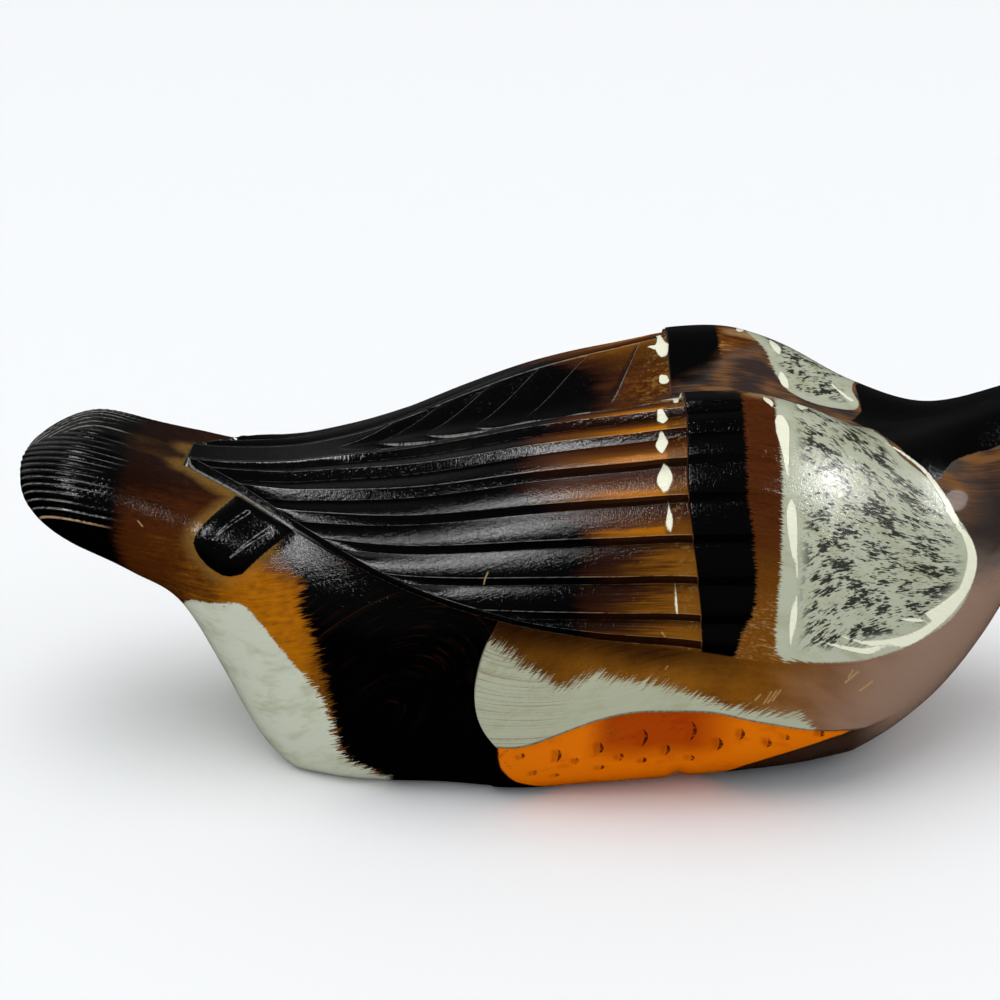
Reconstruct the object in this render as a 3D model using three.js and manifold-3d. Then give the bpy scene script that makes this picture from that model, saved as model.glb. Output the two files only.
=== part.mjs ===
import * as THREE from 'three';
import Module from 'manifold-3d';

// A carved and painted wooden goose that rests on its flat underside. Millimetres, Z up.
// X runs from the tail to the bill, Y to the goose's left. The origin is under its middle.

// The blank, before any carving.
const LENGTH = 505;
const BREADTH = 153;
const HEIGHT = 199;
const TAIL_ROUNDING = 26;
const BILL_ROUNDING = 8;

// Carving. Every form is cut into the blank, so each depth is measured from its surface.
const FEATHER_ROWS = 8;
const FEATHER_CUT = 2.5;
const WING_CUT = 3;
const COVERT_CUT = 1.5;
const SCAPULAR_FEATHERS = 5;
const SCAPULAR_CUT = 1.8;
const THIGH_CUT = 3.5;
const FOOT_CUT = 1.6;
const TAIL_GROOVE = 0.9;
const SIDE_FEATHER_RISE = 1.5;
const SIDE_FEATHER_VANES = 3;
const BILL_CUT = 0.9;
const CUT_FACE = 1.2;

// How finely the surface is divided.
const RING_SPACING = 8.5;
const BACK_STEPS = 4;
const FLANK_STEPS = 6;
const FOOT_STEPS = 3;
const BASE_STEPS = 1;

// Places along the goose, as shares of its length.
const WING_TIP = 0.111;
const SCAPULARS_START = 0.285;
const THIGH_EDGE = 0.3255;
const COVERT_EDGE = 0.431;
const WING_FRONT = 0.5;
const BREAST = 0.545;
const BILL_BASE = 0.9;
const SCAPULAR_SWEEP = 0.0515;
const THIGH_BULGE = 0.016;

// The pose and proportions, as curves of [share of length, share of its own size].
const BACK_LINE = [
  [0, 0.508], [0.04, 0.523], [0.08, 0.505], [0.118, 0.482], [0.156, 0.477], [0.218, 0.49],
  [0.297, 0.526], [0.388, 0.568], [0.44, 0.588], [0.479, 0.583], [0.511, 0.563], [0.562, 0.533],
  [0.602, 0.54], [0.653, 0.583], [0.717, 0.663], [0.772, 0.799], [0.818, 0.955], [0.857, 1],
  [0.89, 0.975], [0.915, 0.925], [0.958, 0.885], [1, 0.869],
];
const BELLY_LINE = [
  [0, 0.412], [0.04, 0.352], [0.079, 0.291], [0.109, 0.236], [0.131, 0.136], [0.154, 0.045],
  [0.182, 0], [0.368, 0], [0.55, 0], [0.584, 0.035], [0.614, 0.09], [0.64, 0.171],
  [0.681, 0.347], [0.739, 0.487], [0.802, 0.638], [0.853, 0.779], [0.885, 0.811], [0.93, 0.817],
  [1, 0.812],
];
// How far a section's foot stands forward of its top, which tips the sections of the neck.
const SECTION_LEAN = [
  [0, 0], [0.48, 0], [0.52, 0.008], [0.582, 0.032], [0.61, 0.037], [0.653, 0.028], [0.7, 0.021],
  [0.746, 0.026], [0.794, 0.035], [0.818, 0.035], [0.85, 0.026], [0.9, 0.009], [0.96, 0], [1, 0],
];
const BREADTH_LINE = [
  [0, 0.523], [0.09, 0.536], [0.133, 0.588], [0.184, 0.719], [0.257, 0.889], [0.341, 0.98],
  [0.414, 1], [0.479, 0.98], [0.539, 0.876], [0.582, 0.667], [0.626, 0.444], [0.685, 0.31],
  [0.772, 0.252], [0.815, 0.27], [0.855, 0.3], [0.885, 0.252], [0.915, 0.17], [0.958, 0.13],
  [1, 0.115],
];
const WIDEST_LEVEL = [
  [0, 0.45], [0.079, 0.56], [0.133, 0.68], [0.184, 0.6], [0.257, 0.5], [0.388, 0.44],
  [0.511, 0.43], [0.602, 0.5], [0.848, 0.55], [0.93, 0.42], [1, 0.4],
];
const RIDGE_PLACE = [
  [0, 0.13], [0.133, 0.105], [0.218, 0.144], [0.297, 0.327], [0.388, 0.444], [0.44, 0.47],
  [0.511, 0.458], [0.562, 0.366], [0.602, 0.157], [0.653, 0.078], [0.8, 0.065], [1, 0.039],
];
const RIDGE_RISE = [
  [0, 0], [0.184, 0], [0.257, 0.013], [0.341, 0.04], [0.44, 0.055], [0.479, 0.058],
  [0.511, 0.053], [0.562, 0.025], [0.602, 0.005], [0.653, 0], [1, 0],
];
const UNDERSIDE_EDGE = [
  [0, 0.105], [0.11, 0.118], [0.133, 0.183], [0.156, 0.314], [0.184, 0.523], [0.218, 0.627],
  [0.297, 0.693], [0.341, 0.732], [0.388, 0.667], [0.44, 0.575], [0.511, 0.405], [0.562, 0.183],
  [0.602, 0.105], [0.8, 0.052], [1, 0.039],
];

const { clamp, lerp, smoothstep } = THREE.MathUtils;
const wasm = await Module();
wasm.setup();
const QUARTER_TURN = Math.PI / 2;

// A smooth curve through the knots.
function curve(knots, at) {
  const last = knots.length - 2;
  let i = knots.findIndex((knot, n) => n > last || at < knots[n + 1][0]);
  i = Math.min(i, last);
  const slope = (n) => (knots[n + 1][1] - knots[n][1]) / (knots[n + 1][0] - knots[n][0]);
  const tangent = (n) => {
    if (n === 0) return slope(0);
    if (n === knots.length - 1) return slope(n - 1);
    const before = knots[n][0] - knots[n - 1][0];
    const after = knots[n + 1][0] - knots[n][0];
    return (after * slope(n - 1) + before * slope(n)) / (before + after);
  };
  const step = knots[i + 1][0] - knots[i][0];
  const t = clamp((at - knots[i][0]) / step, 0, 1);
  const from = knots[i][1];
  const to = knots[i + 1][1];
  const leaving = tangent(i) * step;
  const arriving = tangent(i + 1) * step;
  return from + leaving * t + (3 * (to - from) - 2 * leaving - arriving) * t * t
    + (2 * (from - to) + leaving + arriving) * t * t * t;
}

// Places around a section, from 0 at the middle of the back.
const WING_RIDGE = 1;
const WIDEST = 2;
const BASE_EDGE = 3;
const UNDER_MIDDLE = 4;

// A point on the blank's right side, x along the back and around the section.
function blankPoint(x, around) {
  const share = x / LENGTH;
  const footX = x + curve(SECTION_LEAN, share) * LENGTH;
  const top = new THREE.Vector3(x, 0, curve(BACK_LINE, share) * HEIGHT);
  const foot = new THREE.Vector3(footX, 0, Math.max(0, curve(BELLY_LINE, footX / LENGTH) * HEIGHT));

  const tailClosing = Math.sqrt(1 - Math.max(0, 1 - x / TAIL_ROUNDING) ** 2);
  const billEnd = LENGTH - BILL_ROUNDING;
  const billClosing = Math.sqrt(Math.max(0, 1 - Math.max(0, (x - billEnd) / BILL_ROUNDING) ** 2));
  const narrowing = tailClosing * billClosing;
  const flattening = tailClosing ** 0.45 * billClosing;

  const rise = top.clone().sub(foot);
  const fullHeight = rise.length();
  const widest = curve(WIDEST_LEVEL, share) * fullHeight;
  const valley = widest + (fullHeight - widest) * flattening;
  const bottom = widest - widest * flattening;
  const ridge = valley + Math.max(0, curve(RIDGE_RISE, share)) * HEIGHT;
  const half = curve(BREADTH_LINE, share) * BREADTH / 2 * narrowing;
  const ridgeY = curve(RIDGE_PLACE, share) * BREADTH / 2 * narrowing;
  const floorY = curve(UNDERSIDE_EDGE, share) * BREADTH / 2 * narrowing;
  const squareAbove = 2.5 - 0.4 * smoothstep(share, 0, 0.133) - 0.1 * smoothstep(share, 0.515, 0.6);
  const squareBelow = 2 + 0.4 * smoothstep(share, 0.12, 0.184)
    - 0.2 * smoothstep(share, 0.2, 0.28) - 0.2 * smoothstep(share, 0.5, 0.575);

  let y;
  let level;
  if (around <= WING_RIDGE) {
    y = ridgeY * around;
    level = lerp(valley, ridge, Math.sin(QUARTER_TURN * around) ** 2);
  } else if (around <= WIDEST) {
    const turn = QUARTER_TURN * (around - WING_RIDGE);
    y = lerp(ridgeY, half, Math.sin(turn) ** (2 / squareAbove));
    level = lerp(widest, ridge, Math.max(0, Math.cos(turn)) ** (2 / squareAbove));
  } else if (around <= BASE_EDGE) {
    const turn = QUARTER_TURN * (around - WIDEST);
    y = lerp(floorY, half, Math.max(0, Math.cos(turn)) ** (2 / squareBelow));
    level = lerp(widest, bottom, Math.sin(turn) ** (2 / squareBelow));
  } else {
    y = floorY * (UNDER_MIDDLE - around);
    level = bottom;
  }
  const point = foot.addScaledVector(rise, level / fullHeight);
  point.y = -y;
  return point;
}

// The direction straight into the wood there, from the slopes over a short reach.
const REACH_ALONG = 0.002;
const REACH_AROUND = 0.02;

function inward(x, around) {
  const reachAlong = REACH_ALONG * LENGTH;
  const low = clamp(around - REACH_AROUND, 0, UNDER_MIDDLE);
  const high = clamp(around + REACH_AROUND, 0, UNDER_MIDDLE);
  const back = Math.max(x - reachAlong, reachAlong / 10);
  const front = Math.min(x + reachAlong, LENGTH - reachAlong / 10);
  const forward = blankPoint(front, around).sub(blankPoint(back, around));
  const down = blankPoint(x, high).sub(blankPoint(x, low));
  const direction = forward.cross(down);
  if (around <= 0 || around >= UNDER_MIDDLE) direction.y = 0;
  return direction.normalize();
}

// The carved lines, each as its place around the section.
function wingEdge(x) {
  const past = Math.max(0, x / LENGTH - WING_TIP);
  return 1.98 - 1.04 * Math.exp(-8.6 * past);
}

// The line below feather row k. Line 0 runs along the top of the first row.
function featherLine(k, x) {
  const atCoverts = k === 0 ? 0.93 : 1.06 + 0.86 * (1 - (1 - (k - 1) / (FEATHER_ROWS - 1)) ** 1.25);
  const behind = Math.max(0, COVERT_EDGE - x / LENGTH);
  const line = atCoverts - 0.43 * behind;
  return k === FEATHER_ROWS ? wingEdge(x) : Math.min(line, wingEdge(x));
}

function footLine(x) {
  const share = x / LENGTH;
  return 2.34 - 0.2 * smoothstep(share, 0.333, 0.408) + 0.25 * smoothstep(share, 0.426, 0.594);
}

// Cuts, each a depth at a place.
function rowCut(k, x) {
  const room = clamp((wingEdge(x) - featherLine(k, x)) / 0.06, 0, 1);
  return FEATHER_CUT * room * (1 - smoothstep(x / LENGTH, 0.45, WING_FRONT));
}

function covertCut(x) {
  const share = x / LENGTH;
  return share < COVERT_EDGE ? COVERT_CUT * smoothstep(share, COVERT_EDGE - 0.11, COVERT_EDGE) : 0;
}

const scapularPitch = (COVERT_EDGE - SCAPULARS_START) / (SCAPULAR_FEATHERS - 0.5);

function scapularCut(x) {
  const feather = (x / LENGTH - SCAPULARS_START) / scapularPitch;
  if (feather > SCAPULAR_FEATHERS - 1 || feather < -1) return 0;
  return SCAPULAR_CUT * (feather - Math.floor(feather)) ** 1.6;
}

function wingCut(x) {
  return WING_CUT * (1 - smoothstep(x / LENGTH, 0.42, WING_FRONT));
}

function thighCut(x) {
  const share = x / LENGTH;
  return share < THIGH_EDGE ? THIGH_CUT * smoothstep(share, THIGH_EDGE - 0.11, THIGH_EDGE) : 0;
}

// The columns of the carved surface, from the middle of the back to under the middle. Each
// gives its place around a section and how deep it is cut there.
const columns = [];

function addColumns(steps, from, to, depth) {
  for (let n = 0; n <= steps; n += 1) {
    const share = n / steps;
    columns.push({
      around: (x) => lerp(from(x), to(x), share),
      cut: (x) => depth(x, share),
    });
  }
}

// The width of a cut face, as a step around the section. A quarter of the way round is about
// 0.6 of the breadth there.
function faceStep(x) {
  return CUT_FACE / (0.6 * BREADTH * curve(BREADTH_LINE, x / LENGTH));
}

function backCut(x, share) {
  return covertCut(x) + scapularCut(x) * Math.min(1, 3 * share) * Math.min(1, 4 * (1 - share));
}
addColumns(BACK_STEPS, () => 0, (x) => featherLine(0, x), backCut);

for (let k = 1; k <= FEATHER_ROWS; k += 1) {
  const upperLine = (x) => Math.min(featherLine(k - 1, x) + faceStep(x), wingEdge(x));
  const lowerLine = (x) => featherLine(k, x);
  const shingle = (x, share) => covertCut(x) + (k > 1 ? rowCut(k - 1, x) * (1 - share) : 0);
  addColumns(1, upperLine, lowerLine, shingle);
}

const flankTop = (x) => wingEdge(x) + faceStep(x);
function flankCut(x, share) {
  const underWing = wingCut(x) * (1 - smoothstep(share, 0, 0.5));
  return Math.max(underWing, thighCut(x) * smoothstep(share, -0.3, 0.3));
}
addColumns(FLANK_STEPS, flankTop, footLine, flankCut);

const footTop = (x) => footLine(x) + faceStep(x);
function footCut(x, share) {
  const reach = x / LENGTH;
  const underThigh = reach < THIGH_EDGE ? 0 : 1 - smoothstep(reach, BREAST - 0.03, BREAST + 0.02);
  const below = FOOT_CUT * underThigh * (1 - share);
  return below + thighCut(x) * (1 - smoothstep(share, 0.5, 1));
}
addColumns(FOOT_STEPS, footTop, () => BASE_EDGE, footCut);
addColumns(BASE_STEPS, () => BASE_EDGE, () => UNDER_MIDDLE, () => 0);

// On the tail and neck, where nothing is carved along the feathers, the columns spread evenly.
const EVEN_SPREAD = [[0, 0], [0.11, 1], [0.51, 2], [0.915, 3], [1, 4]];

function evenPlace(index) {
  const share = index / (columns.length - 1);
  const i = EVEN_SPREAD.findIndex(([end]) => share < end || end === 1) - 1;
  const [from, to] = [EVEN_SPREAD[i], EVEN_SPREAD[i + 1]];
  return lerp(from[1], to[1], (share - from[0]) / (to[0] - from[0]));
}

// The rings lean with what is carved: back along the scapular feathers, and round the thigh.
function leaned(x, around) {
  const share = x / LENGTH;
  const among = smoothstep(share, 0.14, 0.277) * (1 - smoothstep(share, 0.356, 0.43));
  const swept = SCAPULAR_SWEEP * among * Math.max(0, 1 - around);
  const offThigh = (around - 2.07) / 0.27;
  const nearThigh = 1 - smoothstep(Math.abs(share - THIGH_EDGE), 0, 0.07);
  const bulged = THIGH_BULGE * nearThigh * Math.max(0, 1 - offThigh ** 2);
  return x - (swept + bulged) * LENGTH;
}

// A vertex of the carved surface, on the right side.
function carvedPoint(x, index) {
  const share = x / LENGTH;
  const even = Math.max(1 - smoothstep(share, 0.03, WING_TIP), smoothstep(share, BREAST, 0.62));
  const column = columns[index];
  const around = lerp(column.around(x), evenPlace(index), even);
  const behindWing = share < WING_TIP;
  let cut = behindWing ? 0 : column.cut(x) * (1 - even);
  if (behindWing && around < BASE_EDGE) {
    const behindTip = smoothstep(share, WING_TIP - 0.07, WING_TIP) * (1 - smoothstep(around, 1, 2));
    const grooved = smoothstep(x, 0, TAIL_ROUNDING) * (1 - smoothstep(share, 0.055, 0.085));
    cut += WING_CUT * behindTip + (index % 2 ? TAIL_GROOVE * grooved : 0);
  }
  if (share > BILL_BASE) cut += BILL_CUT * (1 - smoothstep(share, BILL_BASE, BILL_BASE + 0.06));
  const placeX = leaned(x, around);
  const point = blankPoint(placeX, around).addScaledVector(inward(placeX, around), cut);
  point.z = Math.max(0, point.z);
  if (index === 0 || index === columns.length - 1) point.y = 0;
  return point;
}

// The places of the rings: close pairs where a cut crosses the length, even steps between.
function ringPlaces() {
  const edges = [WING_TIP, THIGH_EDGE, COVERT_EDGE, BILL_BASE].map((share) => share * LENGTH);
  for (let n = 0; n < SCAPULAR_FEATHERS; n += 1) {
    edges.push((SCAPULARS_START + n * scapularPitch) * LENGTH);
  }
  edges.sort((a, b) => a - b);

  const places = [];
  const roundSteps = 5;
  for (let n = 1; n < roundSteps; n += 1) {
    places.push(TAIL_ROUNDING * (1 - Math.cos(QUARTER_TURN * n / roundSteps)));
  }
  let from = TAIL_ROUNDING;
  const fillTo = (to) => {
    const steps = Math.ceil((to - from) / RING_SPACING);
    for (let n = 0; n <= steps; n += 1) places.push(lerp(from, to, n / steps));
  };
  for (const edge of edges) {
    if (edge - from > 1.5 * CUT_FACE) {
      fillTo(edge - CUT_FACE / 2);
      from = edge + CUT_FACE / 2;
    }
  }
  fillTo(LENGTH - BILL_ROUNDING);
  for (let n = 1; n < roundSteps; n += 1) {
    places.push(LENGTH - BILL_ROUNDING + BILL_ROUNDING * Math.sin(QUARTER_TURN * n / roundSteps));
  }
  return places;
}

// Gathers triangles of a mesh whose shared vertices are stored once.
class Carving {
  positions = [];
  triangles = [];
  known = new Map();

  // The goose's left side mirrors the right.
  vertex(point, side) {
    const place = [point.x - LENGTH / 2, point.y * side, point.z];
    const key = place.map((value) => Math.round(value * 1000)).join();
    if (!this.known.has(key)) {
      this.known.set(key, this.positions.length / 3);
      this.positions.push(...place);
    }
    return this.known.get(key);
  }

  triangle(a, b, c, side) {
    if (a === b || b === c || c === a) return;
    this.triangles.push(...(side > 0 ? [a, b, c] : [a, c, b]));
  }

  // A four-cornered patch, split along its shorter diagonal.
  patch(a, b, c, d, side) {
    const at = (n) => new THREE.Vector3().fromArray(this.positions, 3 * n);
    if (at(a).distanceTo(at(c)) < at(b).distanceTo(at(d))) {
      this.triangle(a, b, c, side);
      this.triangle(a, c, d, side);
    } else {
      this.triangle(a, b, d, side);
      this.triangle(b, c, d, side);
    }
  }

  solid() {
    const vertProperties = new Float32Array(this.positions);
    const triVerts = new Uint32Array(this.triangles);
    return new wasm.Manifold(new wasm.Mesh({ numProp: 3, vertProperties, triVerts }));
  }
}

function carvedBody() {
  const carving = new Carving();
  const rings = ringPlaces().map((x) => columns.map((column, index) => carvedPoint(x, index)));
  const tailEnd = carving.vertex(blankPoint(0, 0), 1);
  const billEnd = carving.vertex(blankPoint(LENGTH, 0), 1);
  for (const side of [1, -1]) {
    const grid = rings.map((ring) => ring.map((point) => carving.vertex(point, side)));
    for (let j = 0; j + 1 < columns.length; j += 1) {
      carving.triangle(tailEnd, grid[0][j + 1], grid[0][j], side);
      for (let i = 0; i + 1 < grid.length; i += 1) {
        carving.patch(grid[i][j], grid[i][j + 1], grid[i + 1][j + 1], grid[i + 1][j], side);
      }
      carving.triangle(billEnd, grid.at(-1)[j], grid.at(-1)[j + 1], side);
    }
  }
  return carving.solid();
}

// The short feather that shows under each wing's edge: a low lobe of three vanes. Its corners
// are [share of length, place around], at the wing and at its own tip.
const SIDE_FEATHER_ROOT = [[0.15, 1.22], [0.192, 1.4]];
const SIDE_FEATHER_TIP = [[0.125, 1.86], [0.151, 1.94]];
const SIDE_FEATHER_ROOTED = WING_CUT + 3;

function sideFeather(side) {
  const carving = new Carving();
  const across = 2 * SIDE_FEATHER_VANES;
  const along = 5;
  const corner = (axis, a, b) => lerp(
    lerp(SIDE_FEATHER_ROOT[0][axis], SIDE_FEATHER_ROOT[1][axis], a),
    lerp(SIDE_FEATHER_TIP[0][axis], SIDE_FEATHER_TIP[1][axis], a),
    b,
  );
  const place = (i, j, depth) => {
    const a = i / across;
    const b = j / along;
    const rounded = b * (1 - 0.12 * (2 * a - 1) ** 2);
    const x = corner(0, a, rounded) * LENGTH;
    const around = corner(1, a, rounded);
    return carving.vertex(blankPoint(x, around).addScaledVector(inward(x, around), depth), side);
  };
  const top = (i, j) => {
    const vane = i % 2 ? 1 : 0.45;
    const rounded = j === along ? 0.4 : 1;
    const rise = SIDE_FEATHER_RISE * vane * rounded;
    return place(i, j, lerp(SIDE_FEATHER_ROOTED - 0.5, -rise, smoothstep(j / along, -0.1, 0.3)));
  };
  const bottom = (i, j) => place(i, j, SIDE_FEATHER_ROOTED);
  for (let i = 0; i < across; i += 1) {
    for (let j = 0; j < along; j += 1) {
      carving.patch(top(i, j), top(i, j + 1), top(i + 1, j + 1), top(i + 1, j), side);
      carving.patch(bottom(i, j), bottom(i + 1, j), bottom(i + 1, j + 1), bottom(i, j + 1), side);
    }
    carving.patch(top(i, 0), top(i + 1, 0), bottom(i + 1, 0), bottom(i, 0), side);
    carving.patch(top(i + 1, along), top(i, along), bottom(i, along), bottom(i + 1, along), side);
  }
  for (let j = 0; j < along; j += 1) {
    carving.patch(top(0, j + 1), top(0, j), bottom(0, j), bottom(0, j + 1), side);
    carving.patch(top(across, j), top(across, j + 1), bottom(across, j + 1), bottom(across, j), side);
  }
  return carving.solid();
}

function carveGoose() {
  const solid = carvedBody().add(sideFeather(1)).add(sideFeather(-1));
  const { vertProperties, triVerts } = solid.getMesh();
  const geometry = new THREE.BufferGeometry();
  geometry.setAttribute('position', new THREE.BufferAttribute(vertProperties, 3));
  geometry.setIndex(new THREE.BufferAttribute(triVerts, 1));
  geometry.computeVertexNormals();
  return geometry;
}

const paintedWood = new THREE.MeshStandardMaterial({
  color: new THREE.Color(0.16, 0.09, 0.045),
  roughness: 0.3,
  metalness: 0,
});

const goose = new THREE.Mesh(carveGoose(), paintedWood);
goose.name = 'goose';

const decoy = new THREE.Group();
decoy.add(goose);

export default decoy;
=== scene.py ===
import math

import bpy
import numpy as np
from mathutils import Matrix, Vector


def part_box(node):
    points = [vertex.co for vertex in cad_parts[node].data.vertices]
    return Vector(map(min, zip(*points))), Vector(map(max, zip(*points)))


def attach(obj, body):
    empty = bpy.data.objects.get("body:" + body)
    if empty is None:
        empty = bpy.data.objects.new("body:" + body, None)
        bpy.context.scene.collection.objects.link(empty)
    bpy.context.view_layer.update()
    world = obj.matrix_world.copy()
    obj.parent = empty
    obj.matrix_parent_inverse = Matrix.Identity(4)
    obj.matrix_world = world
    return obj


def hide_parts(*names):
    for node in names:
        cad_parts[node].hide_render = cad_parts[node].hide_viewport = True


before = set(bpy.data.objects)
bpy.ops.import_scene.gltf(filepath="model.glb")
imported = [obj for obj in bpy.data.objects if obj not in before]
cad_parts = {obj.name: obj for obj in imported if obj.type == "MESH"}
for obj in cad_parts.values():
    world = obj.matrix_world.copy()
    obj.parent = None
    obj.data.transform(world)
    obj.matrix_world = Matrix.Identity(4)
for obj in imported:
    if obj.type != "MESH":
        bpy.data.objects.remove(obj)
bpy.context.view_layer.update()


# The camera. It looks at the goose's right side from a little above and from close by, and the
# picture's edge cuts off the neck and head.
camera_target = Vector((-0.092, 0, 0.078))
camera_distance = 0.65
camera_elevation = math.radians(22)
camera_back = Vector((0, -math.cos(camera_elevation), math.sin(camera_elevation)))

camera = bpy.data.objects.new("camera", bpy.data.cameras.new("camera"))
camera.data.sensor_width = 36
camera.data.lens = 68.8
camera.location = camera_target + camera_back * camera_distance
camera.rotation_euler = (-camera_back).to_track_quat("-Z", "Y").to_euler()
bpy.context.collection.objects.link(camera)
bpy.context.scene.camera = camera


# The studio: a pale table in a soft, even room light. The other lamps show only in the varnish: a
# skylight over the tail draws the glare along the feathers, a window ahead of the breast draws the
# one on the shoulder, and the ceiling and the far wall leave a faint sheen elsewhere.
def colour(red, green, blue):
    """A screen colour, each part from 0 to 255, as Blender's linear colour."""
    return tuple((part / 255) ** 2.2 for part in (red, green, blue)) + (1,)


def add_lamp(name, kind, comes_from, strength, in_varnish):
    """A lamp that either lights the paint and the table, or shows in the varnish alone."""
    lamp = bpy.data.objects.new(name, bpy.data.lights.new(name, kind))
    lamp.data.energy = strength
    lamp.rotation_euler = Vector(comes_from).to_track_quat("Z", "Y").to_euler()
    lamp.visible_diffuse = not in_varnish
    lamp.visible_glossy = in_varnish
    bpy.context.collection.objects.link(lamp)
    return lamp


add_lamp("room_light", "SUN", (-0.2, -0.02, 0.95), 1.35, False).data.angle = math.radians(56)
add_lamp("window", "SUN", (0.8, -0.3, 0.52), 3.2, True).data.angle = math.radians(14)
add_lamp("ceiling", "SUN", (0, 0, 1), 0.12, True).data.angle = math.radians(180)
add_lamp("far_wall", "SUN", (-0.55, 0.8, 0.24), 0.07, True).data.angle = math.radians(50)

wing_middle = Vector((-0.13, -0.03, 0.09))
skylight_way = Vector((-1.11, -0.6, 2.72))
skylight = add_lamp("skylight", "AREA", skylight_way, 40, True)
skylight.location = wing_middle + skylight_way
skylight.data.shape = "RECTANGLE"
skylight.data.size = 0.95
skylight.data.size_y = 0.9

room = bpy.data.worlds.new("room")
room.use_nodes = True
room.node_tree.nodes["Background"].inputs["Color"].default_value = (0.96, 0.98, 1, 1)
room.node_tree.nodes["Background"].inputs["Strength"].default_value = 0.66
bpy.context.scene.world = room
room.cycles_visibility.glossy = False
bpy.context.scene.view_settings.view_transform = "Standard"

table_reach = 6
table_mesh = bpy.data.meshes.new("table_top")
table_mesh.from_pydata(
    [(x * table_reach, y * table_reach, 0) for x, y in ((-1, -1), (1, -1), (1, 1), (-1, 1))],
    [], [(0, 1, 2, 3)])
table_cloth = bpy.data.materials.new("table_cloth")
table_cloth.use_nodes = True
cloth_shader = table_cloth.node_tree.nodes["Principled BSDF"]
cloth_shader.inputs["Base Color"].default_value = colour(246, 247, 248)
cloth_shader.inputs["Roughness"].default_value = 0.8
table_mesh.materials.append(table_cloth)
table_top = bpy.data.objects.new("table_top", table_mesh)
bpy.context.collection.objects.link(table_top)
table_top.visible_glossy = False


# The goose's blank: one block of soft wood, sawn and rasped to the shape of the bird before any
# carving. Each section is a soft-cornered loop, with a hollow between the two wings on the back.
low_corner, high_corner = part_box("goose")
length, breadth, height = high_corner - low_corner
TAIL_ROUNDING = 0.026
BILL_ROUNDING = 0.008
QUARTER_TURN = math.pi / 2

# The pose and proportions, as curves of [share of length, share of its own size].
BACK_LINE = [
    [0, 0.508], [0.04, 0.523], [0.08, 0.505], [0.118, 0.482], [0.156, 0.477], [0.218, 0.49],
    [0.297, 0.526], [0.388, 0.568], [0.44, 0.588], [0.479, 0.583], [0.511, 0.563], [0.562, 0.533],
    [0.602, 0.54], [0.653, 0.583], [0.717, 0.663], [0.772, 0.799], [0.818, 0.955], [0.857, 1],
    [0.89, 0.975], [0.915, 0.925], [0.958, 0.885], [1, 0.869],
]
BELLY_LINE = [
    [0, 0.412], [0.04, 0.352], [0.079, 0.291], [0.109, 0.236], [0.131, 0.136], [0.154, 0.045],
    [0.182, 0], [0.368, 0], [0.55, 0], [0.584, 0.035], [0.614, 0.09], [0.64, 0.171],
    [0.681, 0.347], [0.739, 0.487], [0.802, 0.638], [0.853, 0.779], [0.885, 0.811], [0.93, 0.817],
    [1, 0.812],
]
SECTION_LEAN = [
    [0, 0], [0.48, 0], [0.52, 0.008], [0.582, 0.032], [0.61, 0.037], [0.653, 0.028], [0.7, 0.021],
    [0.746, 0.026], [0.794, 0.035], [0.818, 0.035], [0.85, 0.026], [0.9, 0.009], [0.96, 0], [1, 0],
]
BREADTH_LINE = [
    [0, 0.523], [0.09, 0.536], [0.133, 0.588], [0.184, 0.719], [0.257, 0.889], [0.341, 0.98],
    [0.414, 1], [0.479, 0.98], [0.539, 0.876], [0.582, 0.667], [0.626, 0.444], [0.685, 0.31],
    [0.772, 0.252], [0.815, 0.27], [0.855, 0.3], [0.885, 0.252], [0.915, 0.17], [0.958, 0.13],
    [1, 0.115],
]
WIDEST_LEVEL = [
    [0, 0.45], [0.079, 0.56], [0.133, 0.68], [0.184, 0.6], [0.257, 0.5], [0.388, 0.44],
    [0.511, 0.43], [0.602, 0.5], [0.848, 0.55], [0.93, 0.42], [1, 0.4],
]
RIDGE_PLACE = [
    [0, 0.13], [0.133, 0.105], [0.218, 0.144], [0.297, 0.327], [0.388, 0.444], [0.44, 0.47],
    [0.511, 0.458], [0.562, 0.366], [0.602, 0.157], [0.653, 0.078], [0.8, 0.065], [1, 0.039],
]
RIDGE_RISE = [
    [0, 0], [0.184, 0], [0.257, 0.013], [0.341, 0.04], [0.44, 0.055], [0.479, 0.058],
    [0.511, 0.053], [0.562, 0.025], [0.602, 0.005], [0.653, 0], [1, 0],
]
UNDERSIDE_EDGE = [
    [0, 0.105], [0.11, 0.118], [0.133, 0.183], [0.156, 0.314], [0.184, 0.523], [0.218, 0.627],
    [0.297, 0.693], [0.341, 0.732], [0.388, 0.667], [0.44, 0.575], [0.511, 0.405], [0.562, 0.183],
    [0.602, 0.105], [0.8, 0.052], [1, 0.039],
]


def curve(knots, at):
    """A smooth line through the knots."""
    spots, values = np.array(knots, float).T
    steps = np.diff(spots)
    slopes = np.diff(values) / steps
    inner = (steps[1:] * slopes[:-1] + steps[:-1] * slopes[1:]) / (steps[1:] + steps[:-1])
    tangents = np.concatenate([slopes[:1], inner, slopes[-1:]])
    i = np.clip(np.searchsorted(spots, at, side="right") - 1, 0, len(steps) - 1)
    t = np.clip((at - spots[i]) / steps[i], 0, 1)
    rise = values[i + 1] - values[i]
    leaving = tangents[i] * steps[i]
    arriving = tangents[i + 1] * steps[i]
    return (values[i] + leaving * t + (3 * rise - 2 * leaving - arriving) * t**2
            + (leaving + arriving - 2 * rise) * t**3)


def smooth_step(value, low, high):
    t = np.clip((value - low) / (high - low), 0, 1)
    return t * t * (3 - 2 * t)


def between(low, high, share):
    return low + (high - low) * share


def tail_closing(x):
    return np.sqrt(1 - np.maximum(0, 1 - x / TAIL_ROUNDING) ** 2)


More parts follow.
